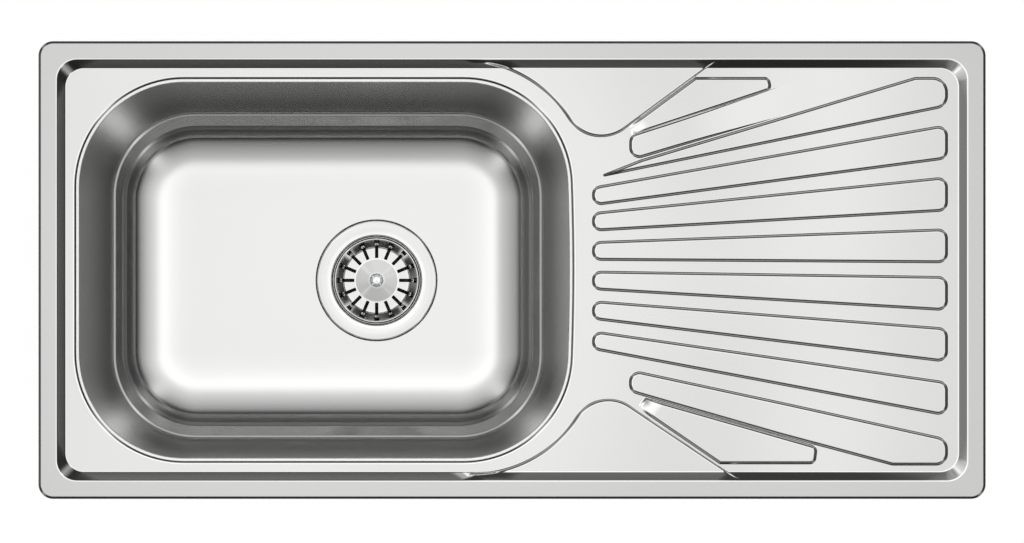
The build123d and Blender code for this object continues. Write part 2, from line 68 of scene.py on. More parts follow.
# ---------------- colours and nodes
def linear(colour):
    """Linear red, green and blue of an sRGB hex colour."""
    parts = [int(colour[i:i + 2], 16) / 255 for i in (1, 3, 5)]
    return tuple(c / 12.92 if c <= 0.04045 else ((c + 0.055) / 1.055) ** 2.4 for c in parts)


def add_node(tree, kind, inputs=None, **settings):
    """Adds a node with its settings, and sets or links its inputs by name or number."""
    node = tree.nodes.new(kind)
    for key, value in settings.items():
        setattr(node, key, value)
    for key, value in (inputs or {}).items():
        if isinstance(value, bpy.types.NodeSocket):
            tree.links.new(value, node.inputs[key])
        else:
            node.inputs[key].default_value = value
    return node


def calc(tree, operation, *values, **settings):
    """The result of a maths node on values or sockets."""
    return add_node(tree, "ShaderNodeMath", dict(enumerate(values)), operation=operation, **settings).outputs[0]


def mapped(tree, value, **limits):
    """A value moved from one range to another; limits are from_min, from_max, to_min and to_max."""
    limits = {key.replace("_", " ").title(): limit for key, limit in limits.items()}
    return add_node(tree, "ShaderNodeMapRange", {"Value": value, **limits}).outputs[0]


def noise(tree, place, size, detail):
    """Noise with spots of a size in millimetres along x, y and z or in every direction."""
    if isinstance(size, tuple):
        place = add_node(tree, "ShaderNodeMapping", {"Vector": place, "Scale": [1 / (s * MM) for s in size]}).outputs[0]
    scale = 1.0 if isinstance(size, tuple) else 1 / (size * MM)
    return add_node(tree, "ShaderNodeTexNoise", {"Vector": place, "Scale": scale, "Detail": detail}).outputs[0]


def bumped(tree, height, depth, before=None):
    """A surface normal raised by a height times a depth in millimetres."""
    inputs = {"Height": height, "Distance": depth * MM, "Strength": 1.0}
    if before is not None:
        inputs["Normal"] = before
    return add_node(tree, "ShaderNodeBump", inputs).outputs[0]


def graded(tree, value, stops):
    """Greys along a value from its (position, grey) stops."""
    node = add_node(tree, "ShaderNodeValToRGB", {"Fac": value})
    ramp = node.color_ramp
    ramp.interpolation = "EASE"
    while len(ramp.elements) > 1:
        ramp.elements.remove(ramp.elements[-1])
    ramp.elements[0].position = stops[0][0]
    ramp.elements[0].color = (stops[0][1],) * 3 + (1,)
    for position, grey in stops[1:]:
        ramp.elements.new(position).color = (grey,) * 3 + (1,)
    return node.outputs["Color"]


def principled(name):
    """A node material, its tree and the inputs of its principled shader."""
    material = bpy.data.materials.new(name)
    material.use_nodes = True
    return material, material.node_tree, material.node_tree.nodes["Principled BSDF"].inputs


def steel(name, base, roughness, grain, grain_depth, sway):
    """Metal with lines of the grain's size along x, y and z, a slow sway of its surface, and uneven gloss."""
    material, tree, inputs = principled(name)
    inputs["Base Color"].default_value = (*base, 1)
    inputs["Metallic"].default_value = 1
    place = add_node(tree, "ShaderNodeTexCoord").outputs["Object"]
    lines = noise(tree, place, grain, 4.0)
    gloss = mapped(tree, lines, from_min=0.25, from_max=0.75, to_min=roughness * 0.92, to_max=roughness * 1.08)
    fine = bumped(tree, lines, grain_depth)
    slow = bumped(tree, noise(tree, place, SWAY_SIZE, 1.5), sway, fine)
    tree.links.new(gloss, inputs["Roughness"])
    tree.links.new(slow, inputs["Normal"])
    return material


def moulded(name, base, roughness, grain, grain_depth, mottle):
    """Rubber, felt, fibre or plastic: a fine surface grain and a faint mottle of the colour."""
    material, tree, inputs = principled(name)
    inputs["Metallic"].default_value = 0
    place = add_node(tree, "ShaderNodeTexCoord").outputs["Object"]
    pores = noise(tree, place, grain, 3.0)
    dark, pale = ((*[min(1, c * share) for c in base], 1) for share in (1 - mottle, 1 + mottle))
    tint = add_node(tree, "ShaderNodeMix", {
        "Factor": noise(tree, place, MOTTLE_SIZE, 2.0), 6: dark, 7: pale}, data_type="RGBA")
    gloss = mapped(tree, pores, to_min=roughness * 0.9, to_max=min(1.0, roughness * 1.1))
    tree.links.new(tint.outputs[2], inputs["Base Color"])
    tree.links.new(gloss, inputs["Roughness"])
    tree.links.new(bumped(tree, pores, grain_depth), inputs["Normal"])
    return material


FINISHES = {
    # Austenitic stainless sheet, cold rolled with a satin skin and pressed: a soft mirror with faint streaks along
    # the sink and a slow wave of the flats. Belt lines are 0.05 mm apart and are drawn 0.7 mm apart to show.
    "sheet": (steel, "stainless_304_satin_pressed", "sheet_colour", 0.13, (25.0, 0.7, 25.0), 0.002, 0.06),
    # The same sheet ground flat along the rim: duller and greyer than the deck, with no clear reflection.
    "rim": (steel, "stainless_304_ground_rim", "rim_colour", 0.2, (25.0, 0.7, 25.0), 0.002, 0.02),
    # The drawn bowl, brushed round after pressing: the same steel with a softer, blurred mirror.
    "bowl": (steel, "stainless_304_satin_drawn_bowl", "sheet_colour", 0.22, (25.0, 0.7, 25.0), 0.002, 0.04),
    # The sheet's hidden side, drawn over the punch and never brushed: a grey, blurred sheen.
    "under": (steel, "stainless_304_drawn_underside", "mill_colour", 0.42, (25.0, 4.0, 25.0), 0.002, 0.05),
    # Stainless spun and polished on a lathe: a clear mirror with hair-fine rings, so edges read as thin lines.
    "polished": (steel, "stainless_304_spun_polished", "polished_colour", 0.08, (1.6, 1.6, 1.6), 0.001, 0.02),
    # Die-cast zinc under bright chrome: the clearest mirror on the sink, slightly blue.
    "chrome": (steel, "zinc_die_cast_chrome_plated", "chrome_colour", 0.05, (4.0, 4.0, 4.0), 0.0005, 0.01),
    # Ferritic stainless strip as it leaves the mill: an even grey with drawn lines across the rails.
    "mill": (steel, "stainless_430_mill_strip", "mill_colour", 0.32, (12.0, 12.0, 0.5), 0.003, 0.03),
    # Stamped steel under bright zinc: a cool grey, lightly cloudy.
    "zinc": (steel, "steel_bright_zinc_plated", "zinc_colour", 0.38, (2.5, 2.5, 2.5), 0.004, 0.05),
    # EPDM foam strip: near black and matt, with open pores about 0.6 mm wide.
    "foam": (moulded, "epdm_foam_black_cut", "foam_colour", 0.85, 0.6, 0.12, 0.12),
    # Moulded nitrile rubber: near black with a dull sheen and a fine eroded grain.
    "rubber": (moulded, "nitrile_rubber_black_moulded", "rubber_colour", 0.55, 0.35, 0.02, 0.08),
    # Bitumen felt, die-cut: dark grey, dry and fibrous.
    "felt": (moulded, "bitumen_felt_grey_die_cut", "felt_colour", 0.92, 0.9, 0.15, 0.2),
    # Vulcanised fibre: tan and smooth like card, with a soft mottle.
    "fibre": (moulded, "vulcanised_fibre_tan_cut", "fibre_colour", 0.6, 0.5, 0.01, 0.12),
    # Polypropylene, injection moulded: off-white with a satin skin.
    "nut": (moulded, "polypropylene_white_moulded", "nut_colour", 0.42, 0.4, 0.008, 0.02),
}


def finish(key):
    """The material of a finish, made once with the colour that the user has set."""
    kind, name, colour_name, *values = FINISHES[key]
    base = tuple(getattr(bpy.context.scene.sink_colours, colour_name))
    return bpy.data.materials.get(name) or kind(name, base, *values)


# ---------------- outlines and swept rows, in millimetres
def unit(vectors):
    """Vectors scaled to a length of one."""
    return vectors / np.maximum(np.linalg.norm(vectors, axis=-1, keepdims=True), 1e-12)


def outline(corners, grow=0.0, spacing=12.0, turn_step=0.09):
    """Points and outward normals round an anticlockwise outline of (x, y, radius) corners, moved out by grow.

    The number of points doesn't depend on grow, so the loops of one outline join index by index. A fourth
    value of a corner is the number of steps in its arc.
    """
    place = np.array([c[:2] for c in corners], float)
    radius = np.array([c[2] for c in corners], float)
    leave = unit(np.roll(place, -1, 0) - place)
    arrive = np.roll(leave, 1, 0)
    normal_in = np.stack((arrive[:, 1], -arrive[:, 0]), 1)
    normal_out = np.stack((leave[:, 1], -leave[:, 0]), 1)
    turn = np.arctan2(arrive[:, 0] * leave[:, 1] - arrive[:, 1] * leave[:, 0], (arrive * leave).sum(1))
    side = np.sign(turn)
    bisector = (normal_in + normal_out) / (1 + (normal_in * normal_out).sum(1, keepdims=True))
    grown = np.maximum(radius + side * grow, 0.05)
    centre = place + (grow - side * grown)[:, None] * bisector
    reach = radius * np.tan(np.abs(turn) / 2)
    straight = np.linalg.norm(np.roll(place, -1, 0) - place, axis=1) - reach - np.roll(reach, -1)
    points, normals = [], []
    for i, corner in enumerate(corners):
        steps = corner[3] if len(corner) > 3 else max(2, math.ceil(abs(turn[i]) / turn_step))
        angle = math.atan2(normal_in[i, 1], normal_in[i, 0]) + turn[i] * np.linspace(0, 1, steps + 1)
        around = np.stack((np.cos(angle), np.sin(angle)), 1)
        arc = centre[i] + side[i] * grown[i] * around
        j = (i + 1) % len(corners)
        start = centre[j] + side[j] * grown[j] * normal_in[j]
        count = max(1, math.ceil(straight[i] / spacing))
        share = (np.arange(1, count) / count)[:, None]
        points += [arc, arc[-1] + share * (start - arc[-1])]
        normals += [around, np.repeat(normal_out[i:i + 1], count - 1, 0)]
    return np.concatenate(points), np.concatenate(normals)


def rectangle(length, width, radius, x=0.0, y=0.0):
    """The corners of a rounded rectangle."""
    return [(x + length / 2, y - width / 2, radius), (x + length / 2, y + width / 2, radius),
            (x - length / 2, y + width / 2, radius), (x - length / 2, y - width / 2, radius)]


def grid_of(x, y):
    """Every point of a grid."""
    return np.stack(np.meshgrid(x, y), -1).reshape(-1, 2)


def circle(radius, steps=96):
    """Points and outward normals of a circle."""
    angle = np.arange(steps) * 2 * math.pi / steps
    around = np.stack((np.cos(angle), np.sin(angle)), 1)
    return radius * around, around


def lifted(points, z):
    """Flat points given their heights."""
    return np.column_stack((points, np.broadcast_to(z, len(points))))


def swept(keys, bends, steps=4):
    """Rows of points and slopes through a stack of loops, with every inner loop rounded to its bend."""
    rows, slopes = [keys[0]], [unit(keys[1] - keys[0])]
    for before, here, after, bend in zip(keys, keys[1:], keys[2:], bends):
        a, b = unit(here - before), unit(after - here)
        if bend == 0:
            rows.append(here)
            slopes.append(unit(a + b))
            continue
        angle = np.arccos(np.clip((a * b).sum(-1, keepdims=True), -1, 1))
        spare = np.minimum(np.linalg.norm(here - before, axis=-1), np.linalg.norm(after - here, axis=-1))
        reach = np.minimum(bend * np.tan(angle / 2), 0.49 * spare[:, None])
        sine = np.maximum(np.sin(angle), 1e-6)
        radius = reach / np.maximum(np.tan(angle / 2), 1e-6)
        for t in np.linspace(0, 1, steps + 1):
            part = t * angle
            rows.append(here - reach * a + radius * (
                (np.cos(angle - part) - np.cos(angle)) * a + (1 - np.cos(part)) * b) / sine)
            slopes.append(unit((np.sin(angle - part) * a + np.sin(part) * b) / sine))
    rows.append(keys[-1])
    slopes.append(unit(keys[-1] - keys[-2]))
    return np.array(rows), np.array(slopes)


class Skin:
    """One surface gathered from rows and fills, welded where its pieces meet."""

    def __init__(self):
        self.points, self.normals, self.faces, self.finish = [], [], [], []
        self.count = 0

    def add(self, points, normals, faces, finish=0):
        """Adds points with their normals, and faces that count from the first of these points."""
        self.points.append(points)
        self.normals.append(normals)
        self.faces += [tuple(int(i) + self.count for i in face) for face in faces]
        self.finish += [finish] * len(faces)
        self.count += len(points)

    def add_rows(self, rows, slopes, around, finish=0, keep=None):
        """Rows from outside to inside; around holds the outward normals of the loop, or of each row's loop."""
        across = np.stack((-around[..., 1], around[..., 0], np.zeros(around.shape[:-1])), -1)
        normals = unit(np.cross(np.broadcast_to(across, slopes.shape), slopes))
        high, wide = rows.shape[:2]
        i = np.arange(wide)
        j = (i + 1) % wide
        faces = [quad for r in range(high - 1)
                 for k, quad in enumerate(np.stack((r * wide + i, r * wide + j, (r + 1) * wide + j,
                                                    (r + 1) * wide + i), 1))
                 if keep is None or keep[r, k]]
        self.add(rows.reshape(-1, 3), normals.reshape(-1, 3), faces, finish)

    def welded(self):
        """Points, normals, faces and finishes with doubled points joined and empty faces left out."""
        points, normals = np.concatenate(self.points), unit(np.concatenate(self.normals))
        _, first, where = np.unique(np.round(points / 0.002).astype(np.int64), axis=0,
                                    return_index=True, return_inverse=True)
        where = where.ravel()
        total = np.zeros((len(first), 3))
        np.add.at(total, where, normals)
        faces, finish = [], []
        for face, kind in zip(self.faces, self.finish):
            ring = [where[i] for i in face]
            ring = [v for k, v in enumerate(ring) if v != ring[k - 1]]
            if len(set(ring)) == len(ring) > 2:
                faces.append(ring)
                finish.append(kind)
        return points[first], unit(total), faces, finish


def make_mesh(name, points, faces, materials, corner_normals=None, finish=None, smooth_angle=0.6):
    """A mesh object in metres from points in millimetres."""
    mesh = bpy.data.meshes.new(name)
    mesh.from_pydata((np.asarray(points) * MM).tolist(), [], [list(map(int, f)) for f in faces])
    for material in materials:
        mesh.materials.append(material)
    mesh.polygons.foreach_set("use_smooth", [True] * len(mesh.polygons))
    if finish is not None:
        mesh.polygons.foreach_set("material_index", finish)
    if corner_normals is None:
        mesh.set_sharp_from_angle(angle=smooth_angle)
    else:
        mesh.normals_split_custom_set([tuple(n) for n in corner_normals])
    mesh.update()
    made = bpy.data.objects.new(name, mesh)
    bpy.context.scene.collection.objects.link(made)
    return made


def put(piece, body, slot, *nodes):
    """Lets a piece ride on its body, in the place of the nodes that it stands for. Its slot is not used."""
    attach(piece, body)
    if nodes:
        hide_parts(*nodes)
    return piece


def middle_of(node):
    """The middle of a node's box from above, in millimetres."""
    low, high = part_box(node)
    return np.array([(low[i] + high[i]) / 2 / MM for i in (0, 1)])


def heights(node):
    """The lowest and highest z of a node, in millimetres."""
    low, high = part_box(node)
    return low[2] / MM, high[2] / MM


def sheet_piece(name, skin, thickness, materials, under=None):
    """A closed sheet: the skin, its lower side, in a finish of its own if one is given, and its free edges."""
    points, normals, faces, finish = skin.welded()
    n = len(points)
    directed = {}
    for face, kind in zip(faces, finish):
        for a, b in zip(face, face[1:] + face[:1]):
            directed[(a, b)] = kind
    free = [(a, b, kind) for (a, b), kind in directed.items() if (b, a) not in directed]
    lower = [[i + n for i in reversed(face)] for face in faces]
    edges = [[b, a, a + n, b + n] for a, b, _ in free]
    every = np.concatenate((points, points - thickness * normals))
    corner_normals = [normals[i] for face in faces for i in face]
    corner_normals += [-normals[i - n] for face in lower for i in face]
    for b, a, c, _ in edges:
        across = unit(np.cross(every[a] - every[b], every[c] - every[a]))
        corner_normals += [across] * 4
    kinds = finish + [kind if under is None else under for kind in finish] + [kind for _, _, kind in free]
    return make_mesh(name, every, faces + lower + edges, materials, corner_normals, kinds)


def inside(points, loop):
    """Which points lie inside a closed loop."""
    a, b = loop, np.roll(loop, -1, 0)
    x, y = points[:, :1], points[:, 1:2]
    drop = np.where(b[:, 1] == a[:, 1], 1e-12, b[:, 1] - a[:, 1])
    crosses = ((a[:, 1] > y) != (b[:, 1] > y)) & (x < a[:, 0] + (y - a[:, 1]) / drop * (b[:, 0] - a[:, 0]))
    return crosses.sum(1) % 2 == 1


def depth_inside(points, loop, reach=40.0):
    """Distance of each point inside a closed loop, negative outside, and -reach where it is far outside."""
    low, high = loop.min(0) - reach, loop.max(0) + reach
    near = ((points > low) & (points < high)).all(1)
    depth = np.full(len(points), -reach)
    chosen = points[near]
    a = loop
    along = np.roll(loop, -1, 0) - a
    square = np.maximum((along ** 2).sum(1), 1e-12)
    found = np.empty(len(chosen))
    for start in range(0, len(chosen), 4000):
        part = chosen[start:start + 4000]
        offset = part[:, None] - a
        t = np.clip((offset * along).sum(-1) / square, 0, 1)
        found[start:start + 4000] = np.sqrt(((offset - t[..., None] * along) ** 2).sum(-1).min(1))
    depth[near] = np.where(inside(chosen, loop), found, -found)
    return np.maximum(depth, -reach)


def triangles(loops, lines=(), spots=()):
    """Points and triangles of the area inside the first loop and outside the others, creased along lines."""
    coords, edges = [], []
    for line, closed in [(loop, True) for loop in loops] + list(lines):
        start = len(coords)
        coords += [Vector(p) for p in line]
        edges += [(start + i, start + i + 1) for i in range(len(line) - 1)]
        if closed:
            edges.append((len(coords) - 1, start))
    coords += [Vector(p) for p in spots]
    points, _, faces, *_ = delaunay_2d_cdt(coords, edges, [], 0, 1e-4)
    points = np.array([tuple(p) for p in points])
    faces = np.array([f[:3] for f in faces])
    middle = points[faces].mean(1)
    keep = inside(middle, loops[0])
    for hole in loops[1:]:
        keep &= ~inside(middle, hole)
    faces = faces[keep]
    a, b, c = points[faces[:, 0]], points[faces[:, 1]], points[faces[:, 2]]
    area = (b - a)[:, 0] * (c - a)[:, 1] - (b - a)[:, 1] * (c - a)[:, 0]
    faces = faces[np.abs(area) > 1e-7]
    area = area[np.abs(area) > 1e-7]
    faces[area < 0] = faces[area < 0][:, ::-1]
    return points, faces


def soft_step(value, blend):
    """max(value, 0) with its corner rounded over blend on both sides."""
    blend = np.maximum(blend, 1e-6)
    return np.where(value < -blend, 0, np.where(value > blend, value, (value + blend) ** 2 / (4 * blend)))


def threaded(rows, radius, low, high, pitch, depth):
    """Cuts a helical thread of sharp ridges into the rows that lie on a radius between two heights."""
    across = np.hypot(rows[..., 0], rows[..., 1])
    turn = np.arctan2(rows[..., 1], rows[..., 0]) / (2 * math.pi)
    z = rows[..., 2]
    fade = np.clip(np.minimum(z - low, high - z) / pitch, 0, 1)
    wave = np.abs(((z - low) / pitch - turn) % 1 * 2 - 1)
    cut = np.where((np.abs(across - radius) < 0.01) & (fade > 0), depth * wave * fade, 0)
    rows[..., :2] *= (1 - cut / np.maximum(across, 0.01))[..., None]


def ladder(radius, low, high, pitch):
    """Profile stops up or down a threaded length, six to a turn."""
    count = math.ceil(abs(high - low) / pitch * 6)
    return [(radius, z, 0) for z in np.linspace(low, high, count + 1)[1:-1]]


def closed_piece(name, loops, bends, around, key, centre=(0.0, 0.0), threads=(), bend_steps=3):
    """A closed piece from loops joined in a ring, anticlockwise where they cross the XZ half plane."""
    rows, slopes = swept([*loops, *loops[:2]], [*bends[1:], bends[0]], bend_steps)
    rows, slopes = rows[1:-1], slopes[1:-1]
    for thread in threads:
        threaded(rows, *thread)
    skin = Skin()
    skin.add_rows(np.concatenate((rows, rows[:1])), np.concatenate((slopes, slopes[:1])), around)
    points, normals, faces, _ = skin.welded()
    corner_normals = None if threads else [normals[i] for face in faces for i in face]
    return make_mesh(name, points + (*centre, 0), faces, [finish(key)], corner_normals)


def lathe(name, profile, key, centre=(0.0, 0.0), steps=96, threads=(), bend_steps=3):
    """A turned piece from its closed (radius, z, bend) profile."""
    flat, around = circle(1.0, steps)
    loops = [lifted(flat * radius, z) for radius, z, _ in profile]
    return closed_piece(name, loops, [bend for _, _, bend in profile], around, key, centre, threads, bend_steps)


def flat_ring(name, node, key, outer, inner, centre, bend=0.25):
    """A plain washer with softened edges, as thick as its node."""
    low, high = heights(node)
    return lathe(name, [(inner, low, bend), (outer, low, bend), (outer, high, bend), (inner, high, bend)], key, centre)


# ---------------- sizes and finishes that a user would change
def length(name, description, default):
    """A length that is set in millimetres here and held in metres."""
    return bpy.props.FloatProperty(name=name, description=description, default=default * MM, unit="LENGTH",
                                   subtype="DISTANCE", precision=5)


def colour(name, description, default):
    """A colour that is set as an sRGB hex value here and held as linear values."""
    return bpy.props.FloatVectorProperty(name=name, description=description, default=linear(default),
                                         subtype="COLOR", size=3, min=0, max=1)


class SinkSizes(bpy.types.PropertyGroup):
    """Sizes of the pressing."""
    overall_length: length("Length", "Outline from end to end", 900.0)
    overall_width: length("Width", "Outline from front to back", 435.0)
    outline_radius: length("Outline radius", "Corner radius of the outline", 14.0)
    sheet: length("Sheet", "Thickness of the stainless sheet", 0.8)
    rim_height: length("Rim height", "Rim top above the worktop", 5.0)
    rim_width: length("Rim width", "Flat part of the rim", 17.5)
    band_width: length("Band width", "Sloping step between rim and deck", 8.0)
    band_top_radius: length("Band top radius", "Corner radius at the band's top", 19.0)
    band_foot_radius: length("Band foot radius", "Corner radius at the band's foot", 18.0)
    deck_drop: length("Deck drop", "Rim top down to the deck", 6.0)
    edge_lift: length("Edge lift", "Turned-down edge above the worktop", 0.3)
    edge_bevel: length("Edge bevel", "Sloping facet along the rim's outer edge", 2.4)
    mouth_length: length("Bowl length", "Bowl's mouth from left to right", 474.0)
    mouth_radius: length("Bowl radius", "Corner radius of the bowl's mouth", 104.5)
    mouth_end_gap: length("Bowl end gap", "Strip of deck left of the bowl", 8.2)
    mouth_side_gap: length("Bowl side gap", "Strip of deck in front of the bowl and behind it", 8.5)
    mouth_bulge: length("Bowl bulge", "How far the mouth's right side bows out", 2.8)
    mouth_strip: length("Mouth strip", "Narrow facet round the bowl's mouth, seen from above", 4.2)
    bowl_depth: length("Bowl depth", "Deck down to the bowl's floor", 155.0)
    drainer_fall: length("Drainer fall", "Rise of the drainboard over its length", 2.0)
    rib_height: length("Rib height", "Drainboard ribs above their floor", 2.0)
    rib_bend: length("Rib bend", "Half width of the rounding along a rib's edges", 0.7)


class WasteSizes(bpy.types.PropertyGroup):
    """Sizes of the basket strainer waste."""
    flange_radius: length("Flange radius", "Outside of the polished flange", 57.5)
    flange_dish: length("Flange dish", "Fall of the flange from its outer edge to the cup", 0.15)
    cup_radius: length("Cup radius", "Inside of the cup", 42.0)
    cup_depth: length("Cup depth", "Flange down to the cup's shoulder", 30.0)
    basket_radius: length("Basket radius", "Outside of the basket's rolled rim", 40.5)
    basket_depth: length("Basket depth", "Basket's rim down to its floor", 20.0)
    slot_width: length("Slot width", "Width of the basket's sixteen slots", 3.2)
    knob_radius: length("Knob radius", "Widest part of the lifting knob", 6.9)
    thread_pitch: length("Thread pitch", "G 1 1/2 thread, eleven to the inch", 2.309)
    nut_radius: length("Lock nut radius", "Lock nut without its lugs", 54.0)


class FixingSizes(bpy.types.PropertyGroup):
    """Sizes of the seal, pad and clip screws."""
    seal_width: length("Seal width", "Foam strip under the rim", 10.0)
    pad_length: length("Pad length", "Sound-deadening pad under the bowl", 130.0)
    pad_width: length("Pad width", "Sound-deadening pad under the bowl", 180.0)
    screw_radius: length("Screw radius", "Clip screw over its thread", 2.5)
    screw_pitch: length("Screw pitch", "Metric M5 thread", 0.8)
    soft_edge: length("Stamped edge", "Rounding along the stamped edges of rails and clips", 0.3)


class SinkColours(bpy.types.PropertyGroup):
    """Colours of the finishes."""
    sheet_colour: colour("Sheet", "Satin stainless steel of the pressing", "#EEEEED")
    rim_colour: colour("Rim", "Ground stainless steel of the rim", "#D9D9D8")
    polished_colour: colour("Polished", "Polished stainless steel of strainer and basket", "#EFEFEE")
    chrome_colour: colour("Chrome", "Chrome of the knob", "#EDEEF0")
    mill_colour: colour("Mill", "Plain stainless strip of the rails", "#C9C9C6")
    zinc_colour: colour("Zinc", "Zinc plating of the clips", "#C6CACC")
    foam_colour: colour("Foam", "Foam of the rim seal", "#2B2B2B")
    rubber_colour: colour("Rubber", "Rubber of the stopper and gaskets", "#262626")
    felt_colour: colour("Felt", "Felt of the sound-deadening pad", "#4A4948")
    fibre_colour: colour("Fibre", "Fibre of the friction ring", "#B99A6B")
    nut_colour: colour("Nut", "Plastic of the lock nut", "#E3E2DD")


def in_mm(group):
    """A property group's lengths as plain values in millimetres."""
    return SimpleNamespace(**{key: getattr(group, key) / MM for key in group.__annotations__})


# ---------------- the pressing
BAND_ARC, MOUTH_ARC, SIDE_ARC = 16, 26, 16      # steps in the arcs of the band, of the mouth's corners and of its sides
ONE_STEP = 1e6                  # a spacing that leaves every straight run in one step
NO_BOW = 0.01                   # the bow of a side that is straight
LOWER_SHIFT = (3.3, -5.5)       # the pressed ledges sit a little right and forward of the mouth
LEDGE_WIDTH = 3.4
UPPER_LEDGE = (404.0, 304.0, 76.0, 95.0, 0.5)       # length, width, corner radius, depth, half its fall
LOWER_LEDGE = (384.0, 280.0, 68.0, 109.0, 0.7)
FOOT_INSET = 7.0
MOUTH_LAP, MOUTH_EDGE = 3.4, 0.8        # how far the bowl's surface reaches out over the deck, and in to its first bend
MOUTH_CREASE, GRID_CLEAR = 4.2, 6.0     # where the deck's surface is creased and freely filled, out from the mouth
STRIP_SLOPE = 0.95
MOUTH_BENDS, FOOT_BEND = (5.0, 3.0), 7.0
LEDGE_BENDS = (2.4, 0.9)        # rounding under a ledge and along its edge
SKIRT_REACH = 64.0              # from the wall's foot in to the level floor
SKIRT_TILT = (                  # distance in from the wall's foot, degrees
    (0.0, 32.0), (3.8, 18.5), (7.6, 16.7), (11.4, 15.2), (17.0, 13.8), (21.0, 12.6), (24.7, 9.8), (28.5, 7.0),
    (36.0, 4.0), (45.6, 1.8), (55.0, 0.7), (64.0, 0.0),
)
DRAIN_SHIFT = (46.3, -4.4)      # drain from the middle of the bowl's floor
DRAIN_HOLE, SEAT_RADIUS, SEAT_DEPTH, SEAT_BEND = 45.0, 58.2, 3.0, 0.35
SEAT_MARGIN, SEAT_SLANT = 2.0, 0.4      # floor drawn with the seat, and how far the seat's side leans in

FAN_LEFT, FAN_RIGHT = (76.4, 17.6, 8.4), (413.7, 32.4, 9.0)     # x, width and corner radius of a rib's ends
FAN_CENTRES = ((69.9, 122.0), (45.7, 72.4), (18.1, 23.1), (-9.8, -22.4), (-37.9, -71.4), (-66.5, -122.6))
OTHER_RIBS = (                  # corners, where the rib has run out and where it is whole, and the ribs that cut it
    ([(79.0, 87.5, 0.8), (413.7, 155.5, 12.0), (413.7, 183.0, 14.0), (383.1, 183.0, 6.0), (122.4, 104.6, 12.0)],
     78.0, 100.0, ()),
    ([(111.7, 103.6, 9.5), (300.0, 160.0, 0.5), (300.0, 188.4, 0.5), (111.7, 128.0, 9.5)], 275.0, 150.0, (0, 2)),
    ([(113.5, 127.7, 1.5), (246.8, 171.8, 5.5), (244.0, 183.0, 5.5), (174.3, 183.0, 1.5), (109.2, 135.1, 1.5)],
     113.0, 122.5, ()),
    ([(111.5, -115.5, 9.5), (254.6, -156.7, 40.0), (361.4, -185.3, 4.0), (413.7, -185.3, 11.0),
      (413.7, -160.5, 12.0), (264.1, -127.4, 60.0), (111.5, -94.5, 9.5)], None, None, ()),
    ([(197.5, -184.1, 2.0), (288.0, -184.1, 6.0), (290.0, -168.0, 6.0), (127.0, -121.5, 1.5),
      (119.0, -130.5, 1.5)], 122.0, 131.5, (3,)),
)
TAP_LEDGES = (                  # side, corner arc's centre, throat arc's centre and radius, angle of the run
    (1, (-47.1, 78.9), (84.9, 163.8), 37.3, 36.4),
    (-1, (-37.9, 75.0), (91.7, 158.9), 36.4, 33.8),
)
LEDGE_PAST_BAND = 4.6           # how far the edge of a tap ledge runs up the band
LEDGE_CLOSING = (140.0, 60.0, 300.0)    # how far right, left and out a ledge's edge is closed, beyond the pressing
FLAT_BESIDE_BOWL, FALL_BLEND = 6.3, 5.0     # level strip right of the mouth, and how softly the rise starts
FLANK_SLOPE, FLANK_FOOT = 0.82, 0.37        # a rib's side, and how far its foot stands outside the rib's outline
FLANK = (-1.7, -1.05, -0.7, -0.37, -0.02, 0.35, 0.85, 1.35, 1.72, 2.07, 2.42, 2.77, 3.4)    # creases across that side
GROOVE_DEPTH = 0.75                         # the crease along a rib that cuts another
GROOVE_BLEND, CUT_BLEND, MEET_BLEND = 0.3, 0.15, 0.04       # rounding of the crease, its edge, and where ribs meet
LEDGE_BLEND, BAND_BLEND, RIM_BLEND = 0.05, 0.5, 0.45        # rounding where ribs, band and rim meet the ledges and deck
RIB_SEARCH, LEDGE_SEARCH, BAND_SEARCH = 8.0, 6.0, (20.0, 30.0)      # how far each shape's depth is worked out
FOOT_CREASES, TOP_CREASES = (-2.2, -1.2, -0.6, 0.0, 0.6), (-0.6, -0.25, 0.1, 0.5)   # out from the band's edges
GRID_HALF, GRID_STEP = (420.0, 189.0), 14.0     # points that fill the flat deck
RIM_LAP, LIP_SHARE, LIP_BENDS = 1.2, 0.47, (0.4, 0.8)       # rim's lap over the band, slope and bends of its edge
MOUTH_ROWS = 15                 # rows of the bowl's surface in the deck's finish, to the middle of the strip's bend
BAND_SPACING, RIB_SPACING = 25, 18      # between crease points along the band and along the ribs


